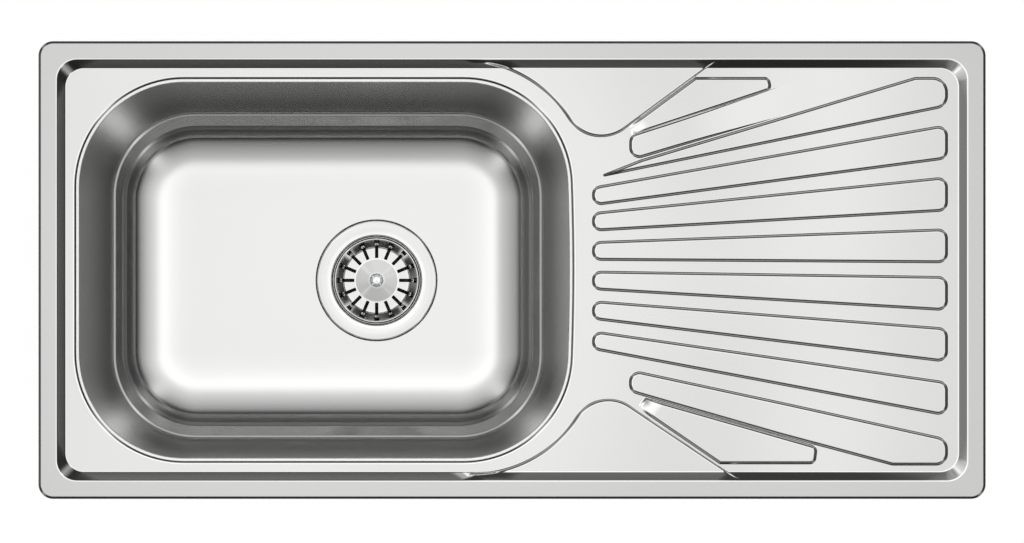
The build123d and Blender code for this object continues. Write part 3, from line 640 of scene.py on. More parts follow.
class Pressing:
    """The pressing's heights and loops, worked out from the sizes."""

    def __init__(self, sizes):
        s = self.s = sizes
        self.deck_z = s.rim_height - s.deck_drop
        self.deck_length = s.overall_length - 2 * (s.rim_width + s.band_width)
        self.deck_width = s.overall_width - 2 * (s.rim_width + s.band_width)
        self.half = self.deck_length / 2
        self.mouth_width = self.deck_width - 2 * s.mouth_side_gap
        self.mouth_x = s.mouth_end_gap + s.mouth_length / 2 - self.half
        self.mouth_right = self.mouth_x + s.mouth_length / 2
        self.lower_x = self.mouth_x + LOWER_SHIFT[0]
        self.fall_start = self.mouth_right + FLAT_BESIDE_BOWL
        self.floor_z = self.deck_z - s.bowl_depth
        self.drain = np.array([self.lower_x + DRAIN_SHIFT[0], LOWER_SHIFT[1] + DRAIN_SHIFT[1]])
        self.foot = rectangle(self.deck_length, self.deck_width, s.band_foot_radius)
        self.top = rectangle(self.deck_length + 2 * s.band_width, self.deck_width + 2 * s.band_width,
                             s.band_top_radius)
        fan = [[(end[0], middle + side * end[1] / 2, end[2]) for side, end, middle in (
            (-1, FAN_LEFT, left), (-1, FAN_RIGHT, right), (1, FAN_RIGHT, right), (1, FAN_LEFT, left))]
               for left, right in FAN_CENTRES]
        self.ribs = [(corners, None, None, ()) for corners in fan]
        self.ribs += [(corners, out, full, [len(fan) + k for k in cut]) for corners, out, full, cut in OTHER_RIBS]
        self.rib_loops = [outline(corners, 0, 30)[0] for corners, *_ in self.ribs]
        self.ledge_loops = [self.ledge_loop(ledge) for ledge in TAP_LEDGES]
        self.foot_loop, self.top_loop = outline(self.foot, 0, 60)[0], outline(self.top, 0, 60)[0]

    def ledge_line(self, ledge, depth):
        """The edge of a tap ledge, moved into the ledge by depth: corner arc, throat arc, straight run."""
        side, corner, throat, throat_radius, run = ledge
        across = np.array(throat) - corner
        radius = np.hypot(*across) - throat_radius + depth
        meet = math.degrees(math.atan2(across[1], across[0]))
        edge_y = self.deck_width / 2 + LEDGE_PAST_BAND
        start = math.degrees(math.asin(min(1.0, (edge_y - corner[1]) / radius)))
        first = np.radians(np.linspace(start, meet, 40))
        second = np.radians(np.linspace(meet + 180, 270 + run, 28))
        points = [np.array(corner) + radius * np.stack((np.cos(first), np.sin(first)), 1),
                  np.array(throat) + (throat_radius - depth) * np.stack((np.cos(second), np.sin(second)), 1)]
        leave = points[1][-1]
        way = np.array([math.cos(math.radians(run)), math.sin(math.radians(run))])
        points.append(leave + np.linspace(0, 1, 12)[1:, None] * (edge_y - leave[1]) / way[1] * way)
        return np.concatenate(points) * (1, side)

    def ledge_loop(self, ledge):
        """The ledge's edge closed far outside the band, so that only the edge itself counts."""
        line = self.ledge_line(ledge, 0.0)
        right, left, out = LEDGE_CLOSING
        return np.concatenate((line, [(line[-1][0] + right, ledge[0] * out), (line[0][0] - left, ledge[0] * out)]))

    def drainer_z(self, x):
        """The floor's height: level beside the bowl, rising towards the drainboard's end."""
        slope = self.s.drainer_fall / (self.half - self.fall_start)
        return self.deck_z + soft_step(slope * (x - self.fall_start), slope * FALL_BLEND)

    def relief(self, points):
        """Height of the rim's inner edge, band, deck, tap ledges and ribs at flat points."""
        s = self.s
        bend = s.rib_bend
        floor = self.drainer_z(points[:, 0])
        raised = np.zeros(len(points))
        depths = [depth_inside(points, loop, RIB_SEARCH) for loop in self.rib_loops]
        for (_, start, full, cut), depth in zip(self.ribs, depths):
            top = np.full(len(points), s.rib_height)
            if start is not None:
                share = np.clip((points[:, 0] - start) / (full - start), 0, 1)
                top = s.rib_height * share * share * (3 - 2 * share)
            side = FLANK_SLOPE * soft_step(depth + FLANK_FOOT, bend)
            rib = side - soft_step(side - top, np.minimum(bend, top / 2))
            for other in cut:
                groove = np.minimum(top, GROOVE_DEPTH)
                wall = top - groove + FLANK_SLOPE * soft_step(-depths[other], GROOVE_BLEND)
                rib = rib - soft_step(rib - wall, CUT_BLEND)
            raised = raised + soft_step(rib - raised, MEET_BLEND)
        height = floor + raised
        for loop in self.ledge_loops:
            side = FLANK_SLOPE * soft_step(depth_inside(points, loop, LEDGE_SEARCH) + FLANK_FOOT, bend)
            ledge = self.deck_z + side - soft_step(side - s.rib_height, bend)
            height = ledge + soft_step(height - ledge, LEDGE_BLEND)
        out = -depth_inside(points, self.foot_loop, BAND_SEARCH[0])
        below = depth_inside(points, self.top_loop, BAND_SEARCH[1])
        share = np.where(out > 0, out / np.maximum(out + below, 1e-6), out / s.band_width)
        band = height + (s.rim_height - height) * share
        height = height + soft_step(band - height, BAND_BLEND)
        return height - soft_step(height - s.rim_height, RIM_BLEND)

    def relief_normals(self, points, step=0.03):
        """Upward normals of the relief."""
        slopes = []
        for axis in (0, 1):
            move = np.zeros(2)
            move[axis] = step
            slopes.append((self.relief(points + move) - self.relief(points - move)) / (2 * step))
        return unit(np.column_stack((-slopes[0], -slopes[1], np.ones(len(points)))))

    def mouth_corners(self):
        """Corners of the bowl's mouth, its right side bowed out."""
        s, bow = self.s, self.s.mouth_bulge
        return bowed(rectangle(s.mouth_length - bow, self.mouth_width, s.mouth_radius, self.mouth_x - bow / 2), bow)

    def section(self, size, grow=0.0):
        """Points of a lower section of the bowl, matched to the mouth's points."""
        corners = rectangle(*size[:3], self.lower_x, LOWER_SHIFT[1])
        return outline(bowed(corners, NO_BOW), grow, ONE_STEP)[0]


def bowed(corners, bow):
    """A rounded rectangle's corners with its right side bowed out by an arc that leaves the corners their room."""
    (right, low, radius), (_, high, _) = corners[:2]
    half = (high - low) / 2
    arc_radius = 0.9 * (half - radius) / math.tan(math.atan(2 * bow / half))
    front, *others = [(*corner, MOUTH_ARC) for corner in corners]
    return [front, (right + 2 * bow, (low + high) / 2, arc_radius, SIDE_ARC), *others]


def build_rim(press, skin):
    """The turned-down edge and the flat rim. Gives back the loop that the deck's surface starts at."""
    s = press.s
    outer = [(*c, BAND_ARC) for c in rectangle(s.overall_length, s.overall_width, s.outline_radius)]
    edge, around = outline(outer, 0, ONE_STEP)
    lip, _ = outline(outer, -s.edge_bevel, ONE_STEP)
    rim, _ = outline([(*c, BAND_ARC) for c in press.top], RIM_LAP, ONE_STEP)
    top = s.rim_height
    keys = [lifted(edge, s.edge_lift), lifted(edge, top - LIP_SHARE * s.edge_bevel), lifted(lip, top), lifted(rim, top)]
    rows, slopes = swept(keys, LIP_BENDS, 5)
    skin.add_rows(rows, slopes, around, finish=1)
    return rim


def build_deck(press, skin, rim, mouth):
    """Band, deck, tap ledges and ribbed drainboard as one creased surface."""
    lines = []
    foot, top = (outline([(*c, BAND_ARC) for c in corners], 0, BAND_SPACING)[0] for corners in (press.foot, press.top))
    if len(foot) == len(top):       # creases up the band need as many points at its top as at its foot
        lines += [(foot + share * (top - foot), True) for share in np.linspace(0, 1, 9)[1:-1]]
    for corners, creases in ((press.foot, FOOT_CREASES), (press.top, TOP_CREASES)):
        lines += [(outline(corners, grow, BAND_SPACING)[0], True) for grow in creases]
    cutting = [press.ribs[k][0] for rib in press.ribs for k in rib[3]]
    for corners, sense in [(rib[0], -1) for rib in press.ribs] + [(corners, 1) for corners in cutting]:
        lines += [(outline(corners, sense * depth, RIB_SPACING)[0], True) for depth in FLANK]
    lines += [(press.ledge_line(ledge, depth), False) for ledge in TAP_LEDGES for depth in FLANK]
    lines.append((outline(press.mouth_corners(), MOUTH_CREASE, ONE_STEP)[0], True))
    grid = grid_of(*[np.arange(-half, half + 1, GRID_STEP) for half in GRID_HALF])
    grid = grid[~inside(grid, outline(press.mouth_corners(), GRID_CLEAR, ONE_STEP)[0])]
    points, faces = triangles([rim, mouth], lines, grid)
    used, faces = np.unique(faces, return_inverse=True)
    points, faces = points[used], faces.reshape(-1, 3)
    skin.add(lifted(points, press.relief(points)), press.relief_normals(points), faces)


def build_bowl(press, skin):
    """From the mouth's edge down to the drain hole. Gives back the loop that the deck's surface ends at."""
    s = press.s
    z = press.deck_z
    mouth = press.mouth_corners()
    outer, around = outline(mouth, MOUTH_LAP, ONE_STEP)
    edge, _ = outline(mouth, -MOUTH_EDGE, ONE_STEP)
    strip, _ = outline(mouth, -MOUTH_EDGE - s.mouth_strip, ONE_STEP)
    keys = [lifted(outer, z), lifted(edge, z), lifted(strip, z - s.mouth_strip * STRIP_SLOPE)]
    for ledge in (UPPER_LEDGE, LOWER_LEDGE):
        depth, half_fall = ledge[3:]
        keys += [lifted(press.section(ledge, LEDGE_WIDTH), z - depth + half_fall),
                 lifted(press.section(ledge), z - depth - half_fall)]
    inset = np.linspace(0, SKIRT_REACH, 33)
    tilt = np.interp(inset, *np.array(SKIRT_TILT).T)
    step = np.tan(np.radians((tilt[1:] + tilt[:-1]) / 2)) * np.diff(inset)
    rise = np.append(np.cumsum(step[::-1])[::-1], 0.0)
    foot = (LOWER_LEDGE[0] - 2 * FOOT_INSET, LOWER_LEDGE[1] - 2 * FOOT_INSET, LOWER_LEDGE[2] - FOOT_INSET)
    keys += [lifted(press.section(foot, -d), press.floor_z + up) for d, up in zip(inset, rise)]
    bends = [*MOUTH_BENDS, *LEDGE_BENDS, *LEDGE_BENDS, FOOT_BEND, *[0] * (len(inset) - 2)]
    rows, slopes = swept(keys, bends, 8)
    skin.add_rows(rows[:MOUTH_ROWS], slopes[:MOUTH_ROWS], around)
    skin.add_rows(rows[MOUTH_ROWS - 1:], slopes[MOUTH_ROWS - 1:], around, finish=2)
    seat_edge, seat_around = circle(1.0)
    seat_keys = [lifted(press.drain + seat_edge * radius, press.floor_z - drop) for radius, drop in (
        (SEAT_RADIUS + SEAT_MARGIN, 0), (SEAT_RADIUS, 0), (SEAT_RADIUS - SEAT_SLANT, SEAT_DEPTH),
        (DRAIN_HOLE, SEAT_DEPTH))]
    points, faces = triangles([keys[-1][:, :2], seat_keys[0][:, :2]])
    skin.add(lifted(points, press.floor_z), np.tile((0.0, 0, 1), (len(points), 1)), faces, finish=2)
    rows, slopes = swept(seat_keys, [SEAT_BEND, SEAT_BEND], 5)
    skin.add_rows(rows, slopes, seat_around, finish=2)
    return outer


def build_pressing(sizes):
    """The whole pressing as one closed sheet."""
    press, skin = Pressing(sizes), Skin()
    rim = build_rim(press, skin)
    mouth = build_bowl(press, skin)
    build_deck(press, skin, rim, mouth)
    shell = sheet_piece("sink_shell", skin, sizes.sheet, [finish(key) for key in ("sheet", "rim", "bowl", "under")], 3)
    put(shell, "sink", "pressing", "sink_pressing")


# ---------------- strainer waste
FLANGE_THICK = 1.5
OUTLET_RADIUS = 23.9            # outside of the outlet's thread
NUT_BORE, NUT_LUGS = 43.3, 6
LUG_SHAPE = (                   # degrees round from a lug's middle, and how much of the lug's reach stands out there
    (-5.4, 0), (-4.7, 0.35), (-4.1, 1), (-2, 1), (0, 1), (2, 1), (4.1, 1), (4.7, 0.35), (5.4, 0), (11, 0), (17, 0),
    (23, 0), (30, 0), (37, 0), (43, 0), (49, 0),
)
SLOTS, SLOT_FOOT = 16, 31.5     # the basket's slots, and its radius at the floor
SLOT_END = (0.35, 0.75, 0.95, 1.0)      # how wide a slot's rounded end is, row by row
BASKET_SHEET = 0.8
STEM_RADIUS, STEM_PITCH, STEM_BORE = 2.95, 0.8, 3.0


def build_strainer(w):
    """Dished flange, cup and outlet, with the threads of the lock nut and of the trap's nut."""
    low, top = heights("strainer_body")
    under, shoulder = top - FLANGE_THICK, top - w.cup_depth
    cup_floor = shoulder - 6.0
    neck = cup_floor - 4.4
    r, rim = w.cup_radius, w.flange_radius
    trap_thread = (OUTLET_RADIUS, low + 0.4, neck - 0.8, w.thread_pitch)
    nut_thread = (r + 1, shoulder + 1, under - 2, w.thread_pitch)
    body = lathe("strainer_cup", [
        (r + 1, under, 0.3), (rim - 0.2, under, 0.1), (rim, under + 0.2, 0.1), (rim, top - 0.9, 0.25),
        (rim - 1.5, top, 1.2), (r + 1.7, top - w.flange_dish, 0.4), (r + 0.9, top - 1.6, 0.6), (r, top - 4.0, 1.6),
        (r, shoulder, 4.0), (29.0, cup_floor, 1.5), (20.0, cup_floor - 3.2, 0.6), (20.0, low, 0.3),
        (OUTLET_RADIUS, low, 0.3), *ladder(OUTLET_RADIUS, low, neck, w.thread_pitch), (OUTLET_RADIUS, neck, 0.8),
        (29.0, cup_floor - 1.8, 3.0), (r + 1, shoulder - 1, 4.0), *ladder(*nut_thread),
    ], "polished", middle_of("strainer_body"), steps=144, threads=[(*trap_thread, 0.9), (*nut_thread, 0.5)])
    put(body, "sink", "waste_steel", "strainer_body")


def build_nut_and_gaskets(w):
    """Rubber gaskets over and under the sink's floor, the fibre ring, and the lugged lock nut."""
    centre = middle_of("strainer_body")
    for name, node, key, slot, outer, inner in (
            ("gasket_above", "flange_gasket", "rubber", "seal_rubber", 56.7, 45.0),
            ("gasket_below", "sink_gasket", "rubber", "seal_rubber", 56.0, NUT_BORE),
            ("fibre_ring", "friction_ring", "fibre", "slip_ring", 56.0, NUT_BORE)):
        put(flat_ring(name, node, key, outer, inner, centre), "sink", slot, node)
    low, high = heights("lock_nut")
    lug_high, outer = low + 6.0, w.nut_radius
    turns, lug = np.array([(turn + 360 / NUT_LUGS * k, out) for k in range(NUT_LUGS) for turn, out in LUG_SHAPE]).T
    around = np.stack((np.cos(np.radians(turns)), np.sin(np.radians(turns))), 1)
    loops = [lifted(centre + around * (radius + reach * lug)[:, None], z) for radius, reach, z in (
        (NUT_BORE, 0, low), (outer - 0.6, 4, low), (outer, 4, low + 0.6), (outer, 4, lug_high - 0.6),
        (outer, 3.4, lug_high), (outer, 0, lug_high + 0.2), (outer, 0, high - 0.6), (outer - 0.6, 0, high),
        (NUT_BORE, 0, high))]
    nut = make_mesh("lock_nut_lugged", *ring_faces(loops), [finish("nut")])
    put(nut, "sink", "nut_plastic", "lock_nut")


def ring_faces(loops):
    """Points and quads of a closed ring of loops."""
    wide, high = len(loops[0]), len(loops)
    i = np.arange(wide)
    j = (i + 1) % wide
    faces = [quad for r in range(high) for quad in np.stack(
        (r * wide + i, r * wide + j, (r + 1) % high * wide + j, (r + 1) % high * wide + i), 1)]
    return np.concatenate(loops), faces


def build_basket(w):
    """The spun basket: rolled rim, slotted wall and floor, domed middle."""
    centre = middle_of("strainer_body")
    top = heights("strainer_basket")[1] - 1.0
    floor = top - w.basket_depth
    rim = w.basket_radius - 1.0
    lean = (rim - SLOT_FOOT) / w.basket_depth

    def wall(rises):
        return [(SLOT_FOOT + lean * rise, floor + rise) for rise in rises]

    curl = np.radians(np.arange(-60, 181, 15))
    line = [(rim + math.cos(a), top + math.sin(a)) for a in curl] + [(rim - 0.9, top - 0.8), (rim - 0.75, top - 1.6)]
    line += wall(np.linspace(w.basket_depth - 3.0, 10.4, 8))
    first = len(line)
    line += wall((10.25, 10.0, 9.6, 9.1, 7.5, 6.0, 4.6, 3.4, 2.5, 1.7))
    line += [(31.8, floor + 0.75), (31.45, floor + 0.32), (31.0, floor + 0.08), (30.4, floor)]
    line += [(r, floor) for r in (27.5, 25.0, 23.6, 22.6, 22.1, 21.7, 21.5, 21.4)]
    last = len(line) - 1
    line += [(21.2, floor), (20.8, floor + 0.02)]
    line += [(r, floor + 3.5 - 0.24 * soft_step(r - 6.0, 1.5))
             for r in (20.3, 19.8, 17, 14, 11, 9, 8, 7.2, 6.4, 5.6, 4.8, 4, 3)]
    line = np.array(line)
    half = np.full(len(line), w.slot_width / 2)
    half[first:first + 4] *= SLOT_END
    half[last - 3:last + 1] *= SLOT_END[::-1]
    sector = 2 * math.pi / SLOTS
    spread = np.minimum(np.arcsin(np.minimum(half / line[:, 0], 0.9)), 0.3 * sector)[:, None]
    inner = spread * np.array([-1, -0.5, 0, 0.5, 1])
    outer = spread + (sector - 2 * spread) * np.array([0.25, 0.5, 0.75])
    turn = np.concatenate([np.concatenate((inner, outer), 1) + k * sector for k in range(SLOTS)], 1)
    around = np.stack((np.cos(turn), np.sin(turn)), -1)

    def spun(profile):
        return np.concatenate((around * profile[:, None, :1],
                               np.broadcast_to(profile[:, None, 1:], (*turn.shape, 1))), -1)

    keep = np.ones((len(line) - 1, turn.shape[1]), bool)
    for k in range(SLOTS):
        keep[first:last, 8 * k:8 * k + 4] = False
    skin = Skin()
    skin.add_rows(spun(line) + (*centre, 0), spun(unit(np.gradient(line, axis=0))), around, keep=keep)
    shell = sheet_piece("basket_shell", skin, BASKET_SHEET, [finish("polished")])
    put(shell, "basket", "waste_steel", "strainer_basket")


def build_knob_and_stopper(w):
    """Lifting knob, stem with its thread and nut, spacer, and the rubber stopper under the basket."""
    centre = middle_of("strainer_body")
    base, top = heights("basket_knob")
    r, under = w.knob_radius, base + 4.5
    knob = lathe("lifting_knob", [
        (0.5, base, 0.1), (4.3, base, 0.3), (4.1, base + 0.9, 0.6), (3.0, base + 2.4, 1.5), (3.4, under - 0.3, 0.6),
        (r - 1.2, under, 0.6), (r, under + 1.4, 0.9), (r, top - 2.8, 1.2), (r - 0.9, top - 1.1, 1.6),
        (r - 3.6, top - 0.4, 2.6), (0.5, top - 0.02, 0.1), (0, top, 0), (0, base, 0)], "chrome", centre, steps=64,
        bend_steps=5)
    put(knob, "basket", "knob_chrome", "basket_knob")
    low, high = heights("basket_stem")
    thread = (STEM_RADIUS, low + 0.7, low + 9, STEM_PITCH)
    stem = lathe("stem_rod", [
        (0, low, 0), (2.3, low, 0.2), (STEM_RADIUS, low + 0.7, 0.2), *ladder(*thread), (STEM_RADIUS, low + 9, 0.1),
        (STEM_RADIUS, high - 0.4, 0.2), (2.4, high, 0.2), (0, high, 0)], "zinc", centre, steps=32,
        threads=[(*thread, 0.35)])
    put(stem, "basket", "waste_steel", "basket_stem")
    low, high = heights("stem_spacer")
    spacer = lathe("stem_collar", [(STEM_BORE, low, 0.2), (8.4, low, 0.5), (9.0, low + 0.8, 0.4),
                                   (9.0, high - 0.7, 0.3), (7.9, high, 0.4), (STEM_BORE, high, 0.2)],
                   "polished", centre, steps=48)
    put(spacer, "basket", "waste_steel", "stem_spacer")
    low, high = heights("stem_nut")
    hexagon = [(*(centre + 6.0 * np.array((math.cos(a), math.sin(a)))), 0.5, 3) for a in np.radians(range(0, 360, 60))]
    loops = [lifted(outline(hexagon, grow, ONE_STEP)[0], z) for grow, z in (
        (-0.6, low), (0, low + 0.5), (0, high - 0.5), (-0.6, high))]
    bore, _ = circle(STEM_BORE, len(loops[0]))
    shift = np.argmin(np.linalg.norm(bore + centre - loops[0][0, :2], axis=1))
    bore = np.roll(bore, -shift, 0) + centre
    faces = ring_faces([lifted(bore, low), *loops, lifted(bore, high)])
    put(make_mesh("stem_hex_nut", *faces, [finish("zinc")], smooth_angle=0.4), "basket", "waste_steel", "stem_nut")
    low, high = heights("stopper_seal")
    stopper = lathe("rubber_stopper", [
        (3.3, low + 0.6, 0.3), (9.0, low + 0.5, 1.5), (14.0, low, 1.0), (25.4, low, 0.8), (27.0, low + 0.9, 0.5),
        (26.6, low + 2.0, 0.6), (23.6, low + 3.4, 1.2), (21.6, low + 5.0, 1.5), (20.2, low + 6.4, 0.8),
        (21.0, low + 7.4, 0.6), (21.0, high - 0.8, 0.5), (20.2, high, 0.5), (3.3, high, 0.3)], "rubber", centre)
    put(stopper, "stopper", "stopper_rubber", "stopper_seal")


# ---------------- seal, pad, rails and clips
PAD_CELL, PAD_DIP = 12.0, 0.35  # the grid pressed into the pad's face
CLIP_PLACES = (                 # side and place along it of each fixing clip
    ("left", 0.0), ("right", 0.0), ("front", -330.0), ("front", -80.0), ("front", 300.0), ("back", -330.0),
    ("back", -80.0), ("back", 300.0),
)
PIVOT, SCREW_OUT, SCREW_FOOT = (5.6, -17.0), 26.0, -59.0    # out from the deck's edge and up from the worktop
HANG_ANGLE = 26.7               # how far a loose arm hangs inwards, in degrees
THREAD_ENDS, THREAD_DEPTH = (3.5, 24.5), 0.4    # where a screw's thread starts and ends, and its depth
HEAD_RADIUS, HEAD_HEIGHT = 5.45, 3.5
HEAD_SLOT, SLOT_DEPTH, SLOT_SIDE = 1.2, 1.5, 0.05       # the slot's width and depth, and the width of its sloping side


def build_rim_seal(sizes, f):
    """The foam strip between rim and worktop, with two soft lips along its foot."""
    low, high = heights("rim_seal")
    side = sizes.sheet + 0.3
    corners = [(*c, 12) for c in rectangle(sizes.overall_length - 2 * side, sizes.overall_width - 2 * side,
                                           sizes.outline_radius - side)]
    width, foot = f.seal_width, low + 0.7
    profile = [(-width, foot, 0.5), (-width + 1.4, low, 0.6), (-width + 3.2, low, 0.6), (-width + 4.2, foot, 0.5),
               (-4.2, foot, 0.5), (-3.2, low, 0.6), (-1.4, low, 0.6), (0, foot, 0.5), (0, high - 0.5, 0.3),
               (-0.5, high, 0.3), (-width + 0.5, high, 0.3), (-width, high - 0.5, 0.3)]
    around = outline(corners, 0, 40.0)[1]
    loops = [lifted(outline(corners, grow, 40.0)[0], z) for grow, z, _ in profile]
    seal = closed_piece("foam_rim_seal", loops, [bend for *_, bend in profile], around, "foam")
    put(seal, "sink", "seal_rubber", "rim_seal")


def build_pad(f):
    """The felt pad stuck under the bowl, its cut edge slightly rounded and its face pressed into a shallow grid."""
    low, high = heights("bowl_pad")
    centre = middle_of("bowl_pad")
    corners = [(*c, 8) for c in rectangle(f.pad_length, f.pad_width, 12.0, *centre)]
    loop, inner = (outline(corners, grow, 4.0)[0] for grow in (0, -1.0))
    grid = grid_of(*[np.arange(2 - size / 2, size / 2 - 1, 2.0) for size in (f.pad_length, f.pad_width)]) + centre
    grid = grid[depth_inside(grid, inner) > 1.0]
    points, faces = triangles([inner], [], grid)
    tuft = 0.5 - 0.5 * np.cos((points - centre) * 2 * math.pi / PAD_CELL).prod(1)
    dip = PAD_DIP * tuft * np.clip(depth_inside(points, inner) / 3.0, 0, 1)
    every = np.concatenate((lifted(points, low + dip), lifted(loop, low + 0.6), lifted(loop, high - 0.2),
                            lifted(inner, high)))
    edge = [int(np.argmin(np.linalg.norm(points - p, axis=1))) for p in inner]
    wide = len(loop)
    rows = [edge, *(range(len(points) + row * wide, len(points) + (row + 1) * wide) for row in range(3))]
    quads = [(lower[k], lower[(k + 1) % wide], upper[(k + 1) % wide], upper[k])
             for k in range(wide) for lower, upper in zip(rows, rows[1:])]
    pad = make_mesh("felt_pad", every, [tuple(f[::-1]) for f in faces] + quads + [tuple(rows[-1])], [finish("felt")])
    put(pad, "sink", "pad", "bowl_pad")


def dress_nodes(names, key, width):
    """Gives frame parts of the right shape their finish, and rounds their stamped edges."""
    for name in names:
        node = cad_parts[name]
        node.data.materials.clear()
        node.data.materials.append(finish(key))
        bevel = node.modifiers.new("stamped_edge", "BEVEL")
        bevel.width, bevel.segments, bevel.limit_method, bevel.angle_limit = width * MM, 2, "ANGLE", 0.6
        bevel.use_clamp_overlap = True


def clip_frames(press):
    """Number, turn and place of each clip screw's foot: up along its axis, as its loose arm hangs."""
    half_x, half_y = press.deck_length / 2, press.deck_width / 2
    outwards = {"left": (-1, 0), "right": (1, 0), "front": (0, -1), "back": (0, 1)}
    hang = math.radians(HANG_ANGLE)
    reach, drop = SCREW_OUT - PIVOT[0], SCREW_FOOT - PIVOT[1]
    foot = (PIVOT[0] + reach * math.cos(hang) + drop * math.sin(hang),
            PIVOT[1] - reach * math.sin(hang) + drop * math.cos(hang))
    for number, (side, along) in enumerate(CLIP_PLACES, 1):
        out = np.array((*outwards[side], 0.0))
        edge = np.array((along if out[1] else out[0] * half_x, along if out[0] else out[1] * half_y, 0.0))
        up = out * math.sin(hang) + np.array((0, 0, math.cos(hang)))
        cross = unit(np.cross(up, out))
        yield number, np.stack((np.cross(cross, up), cross, up), 1), edge + out * foot[0] + (0, 0, foot[1])


def screw_head(skin):
    """A round head cut by a slot right across its foot."""
    radius, half = HEAD_RADIUS, HEAD_SLOT / 2
    slot_angles = [math.asin(reach / radius) for reach in (half - SLOT_SIDE, half)]
    angles = sorted([base + sign * a for base in (0, math.pi) for sign in (-1, 1) for a in slot_angles]
                    + [base + a for base in (0, math.pi) for a in np.linspace(0.25, math.pi - 0.25, 12)])
    around = np.stack((np.cos(angles), np.sin(angles)), 1)
    loop = radius * around

    def foot(points):
        return SLOT_DEPTH * np.clip((half - np.abs(points[:, 1])) / SLOT_SIDE, 0, 1)

    points, faces = triangles([loop], [(np.array(((-radius, y), (radius, y))) * 0.98, False)
                                       for y in (-half, SLOT_SIDE - half, half - SLOT_SIDE, half)])
    skin.add(lifted(points, foot(points)), np.tile((0.0, 0, -1), (len(points), 1)), [f[::-1] for f in faces])
    rows = np.array([lifted(loop, foot(loop)), lifted(loop, HEAD_HEIGHT - 0.5),
                     lifted((radius - 0.5) * around, HEAD_HEIGHT), lifted(2.4 * around, HEAD_HEIGHT)])
    skin.add_rows(rows, np.tile((0.0, 0, 1), rows.shape[:2] + (1,)), around)


def build_screws(sizes, f):
    """The clip screws: pointed, threaded and slotted, each turned with its arm."""
    r = f.screw_radius - 0.03
    thread = (r, *THREAD_ENDS, f.screw_pitch)
    shank = [(0, 3.0, 0), (r, 3.0, 0.1), *ladder(*thread), (r, THREAD_ENDS[1], 0.1), (0.7, 27.3, 0.2), (0, 27.5, 0)]
    flat, around = circle(1.0, 24)
    rows, slopes = swept([lifted(flat * radius, z) for radius, z, _ in shank], [bend for *_, bend in shank[1:-1]])
    threaded(rows, *thread, THREAD_DEPTH)
    skin = Skin()
    skin.add_rows(rows, slopes, around)
    screw_head(skin)
    points, _, faces, _ = skin.welded()
    for number, turn, place in clip_frames(Pressing(sizes)):
        screw = make_mesh(f"screw_{number}_threaded", points @ turn.T + place, faces, [finish("zinc")],
                          smooth_angle=0.5)
        put(screw, f"screw_{number}", "clip_steel", f"clip_screw_{number}")


# ---------------- stage
# Each ring of the light tent: brightness by degrees off the zenith, and by degrees round from -X through -Y.
OVERHEAD = ((0, 0.62), (3, 0.64), (6, 0.70), (9, 0.82), (13, 1.0), (17, 1.08), (25, 0.78), (32, 0.24), (42, 0.018),
            (66, 0.018), (74, 0.025), (93, 0.05), (97, 0.8), (125, 0.6), (180, 0.5))
RINGS = (
    # The bowl's walls mirror a dark ring with four bright corners.
    (((0, 0), (26, 0), (33, 1), (43, 1), (49, 0.15), (70, 0.1), (78, 0)),
     ((0, 0.22), (22, 0.03), (34, 0.04), (44, 1.3), (54, 0.04), (66, 0.01), (90, 0.07), (114, 0.01), (126, 0.04),
      (136, 1.3), (146, 0.04), (158, 0.03), (180, 0.07), (202, 0.03), (214, 0.04), (224, 1.1), (234, 0.04),
      (246, 0.01), (270, 0.145), (294, 0.01), (306, 0.04), (316, 1.1), (326, 0.04), (338, 0.03), (360, 0.22))),
    # The ribs' sides mirror two side lights in front and behind, their ends the dark between these.
    (((0, 0), (74.5, 0), (77, 1), (81, 1), (83, 0)),
     ((0, 0.02), (40, 0.05), (62, 0.3), (90, 0.28), (118, 0.3), (140, 0.05), (180, 0.02), (220, 0.1), (242, 0.42),
      (270, 0.42), (298, 0.42), (320, 0.1), (360, 0.02))),
    # The band round the deck mirrors a faint glow that is strongest in front.
    (((0, 0), (68, 0), (71, 1), (74.5, 1), (77, 0)), ((0, 0.09), (90, 0.05), (180, 0.09), (270, 0.11), (360, 0.09))),
    # Rounded corners and bends catch four faint lights on the diagonals.
    (((0, 0), (44, 0), (50, 1), (66, 1), (76, 0.5), (80, 0)),
     ((0, 0.05), (28, 0), (38, 0.2), (52, 0.2), (62, 0), (118, 0), (128, 0.2), (142, 0.2), (152, 0), (208, 0),
      (218, 0.2), (232, 0.2), (242, 0), (298, 0), (308, 0.2), (322, 0.2), (332, 0), (360, 0.05))),
    # The strip round the bowl's mouth mirrors the horizon.
    (((0, 0), (82.5, 0), (85.5, 1), (91, 1), (95, 0)), ((0, 1.2), (360, 1.2))),
)
BACK_LEAN = 0.45                # the share that the overhead light gains to the back and loses to the front
# The softbox: its height and half sizes, and its brightness by millimetres along X and along Y.
PANEL_HEIGHT, PANEL_HALF = 1500.0, (760.0, 420.0)
PANEL_ALONG = (
    ((-760, 0), (-560, 0.22), (-450, 0.27), (-350, 0.30), (-200, 0.35), (-60, 0.36), (60, 0.31), (180, 0.20),
     (310, 0.33), (400, 0.20), (560, 0.16), (760, 0)),
    ((-420, 0), (-230, 0.95), (0, 1), (230, 1), (420, 0)),
)
STUDIO_RADIUS = 6000.0
VIEW_WIDTH, VIEW_MIDDLE = 972.8, (-0.05, -1.4)      # what the camera sees across, and the point under it


def bare(data):
    """The node tree of a new material or world, emptied."""
    data.use_nodes = True
    data.node_tree.nodes.clear()
    return data.node_tree


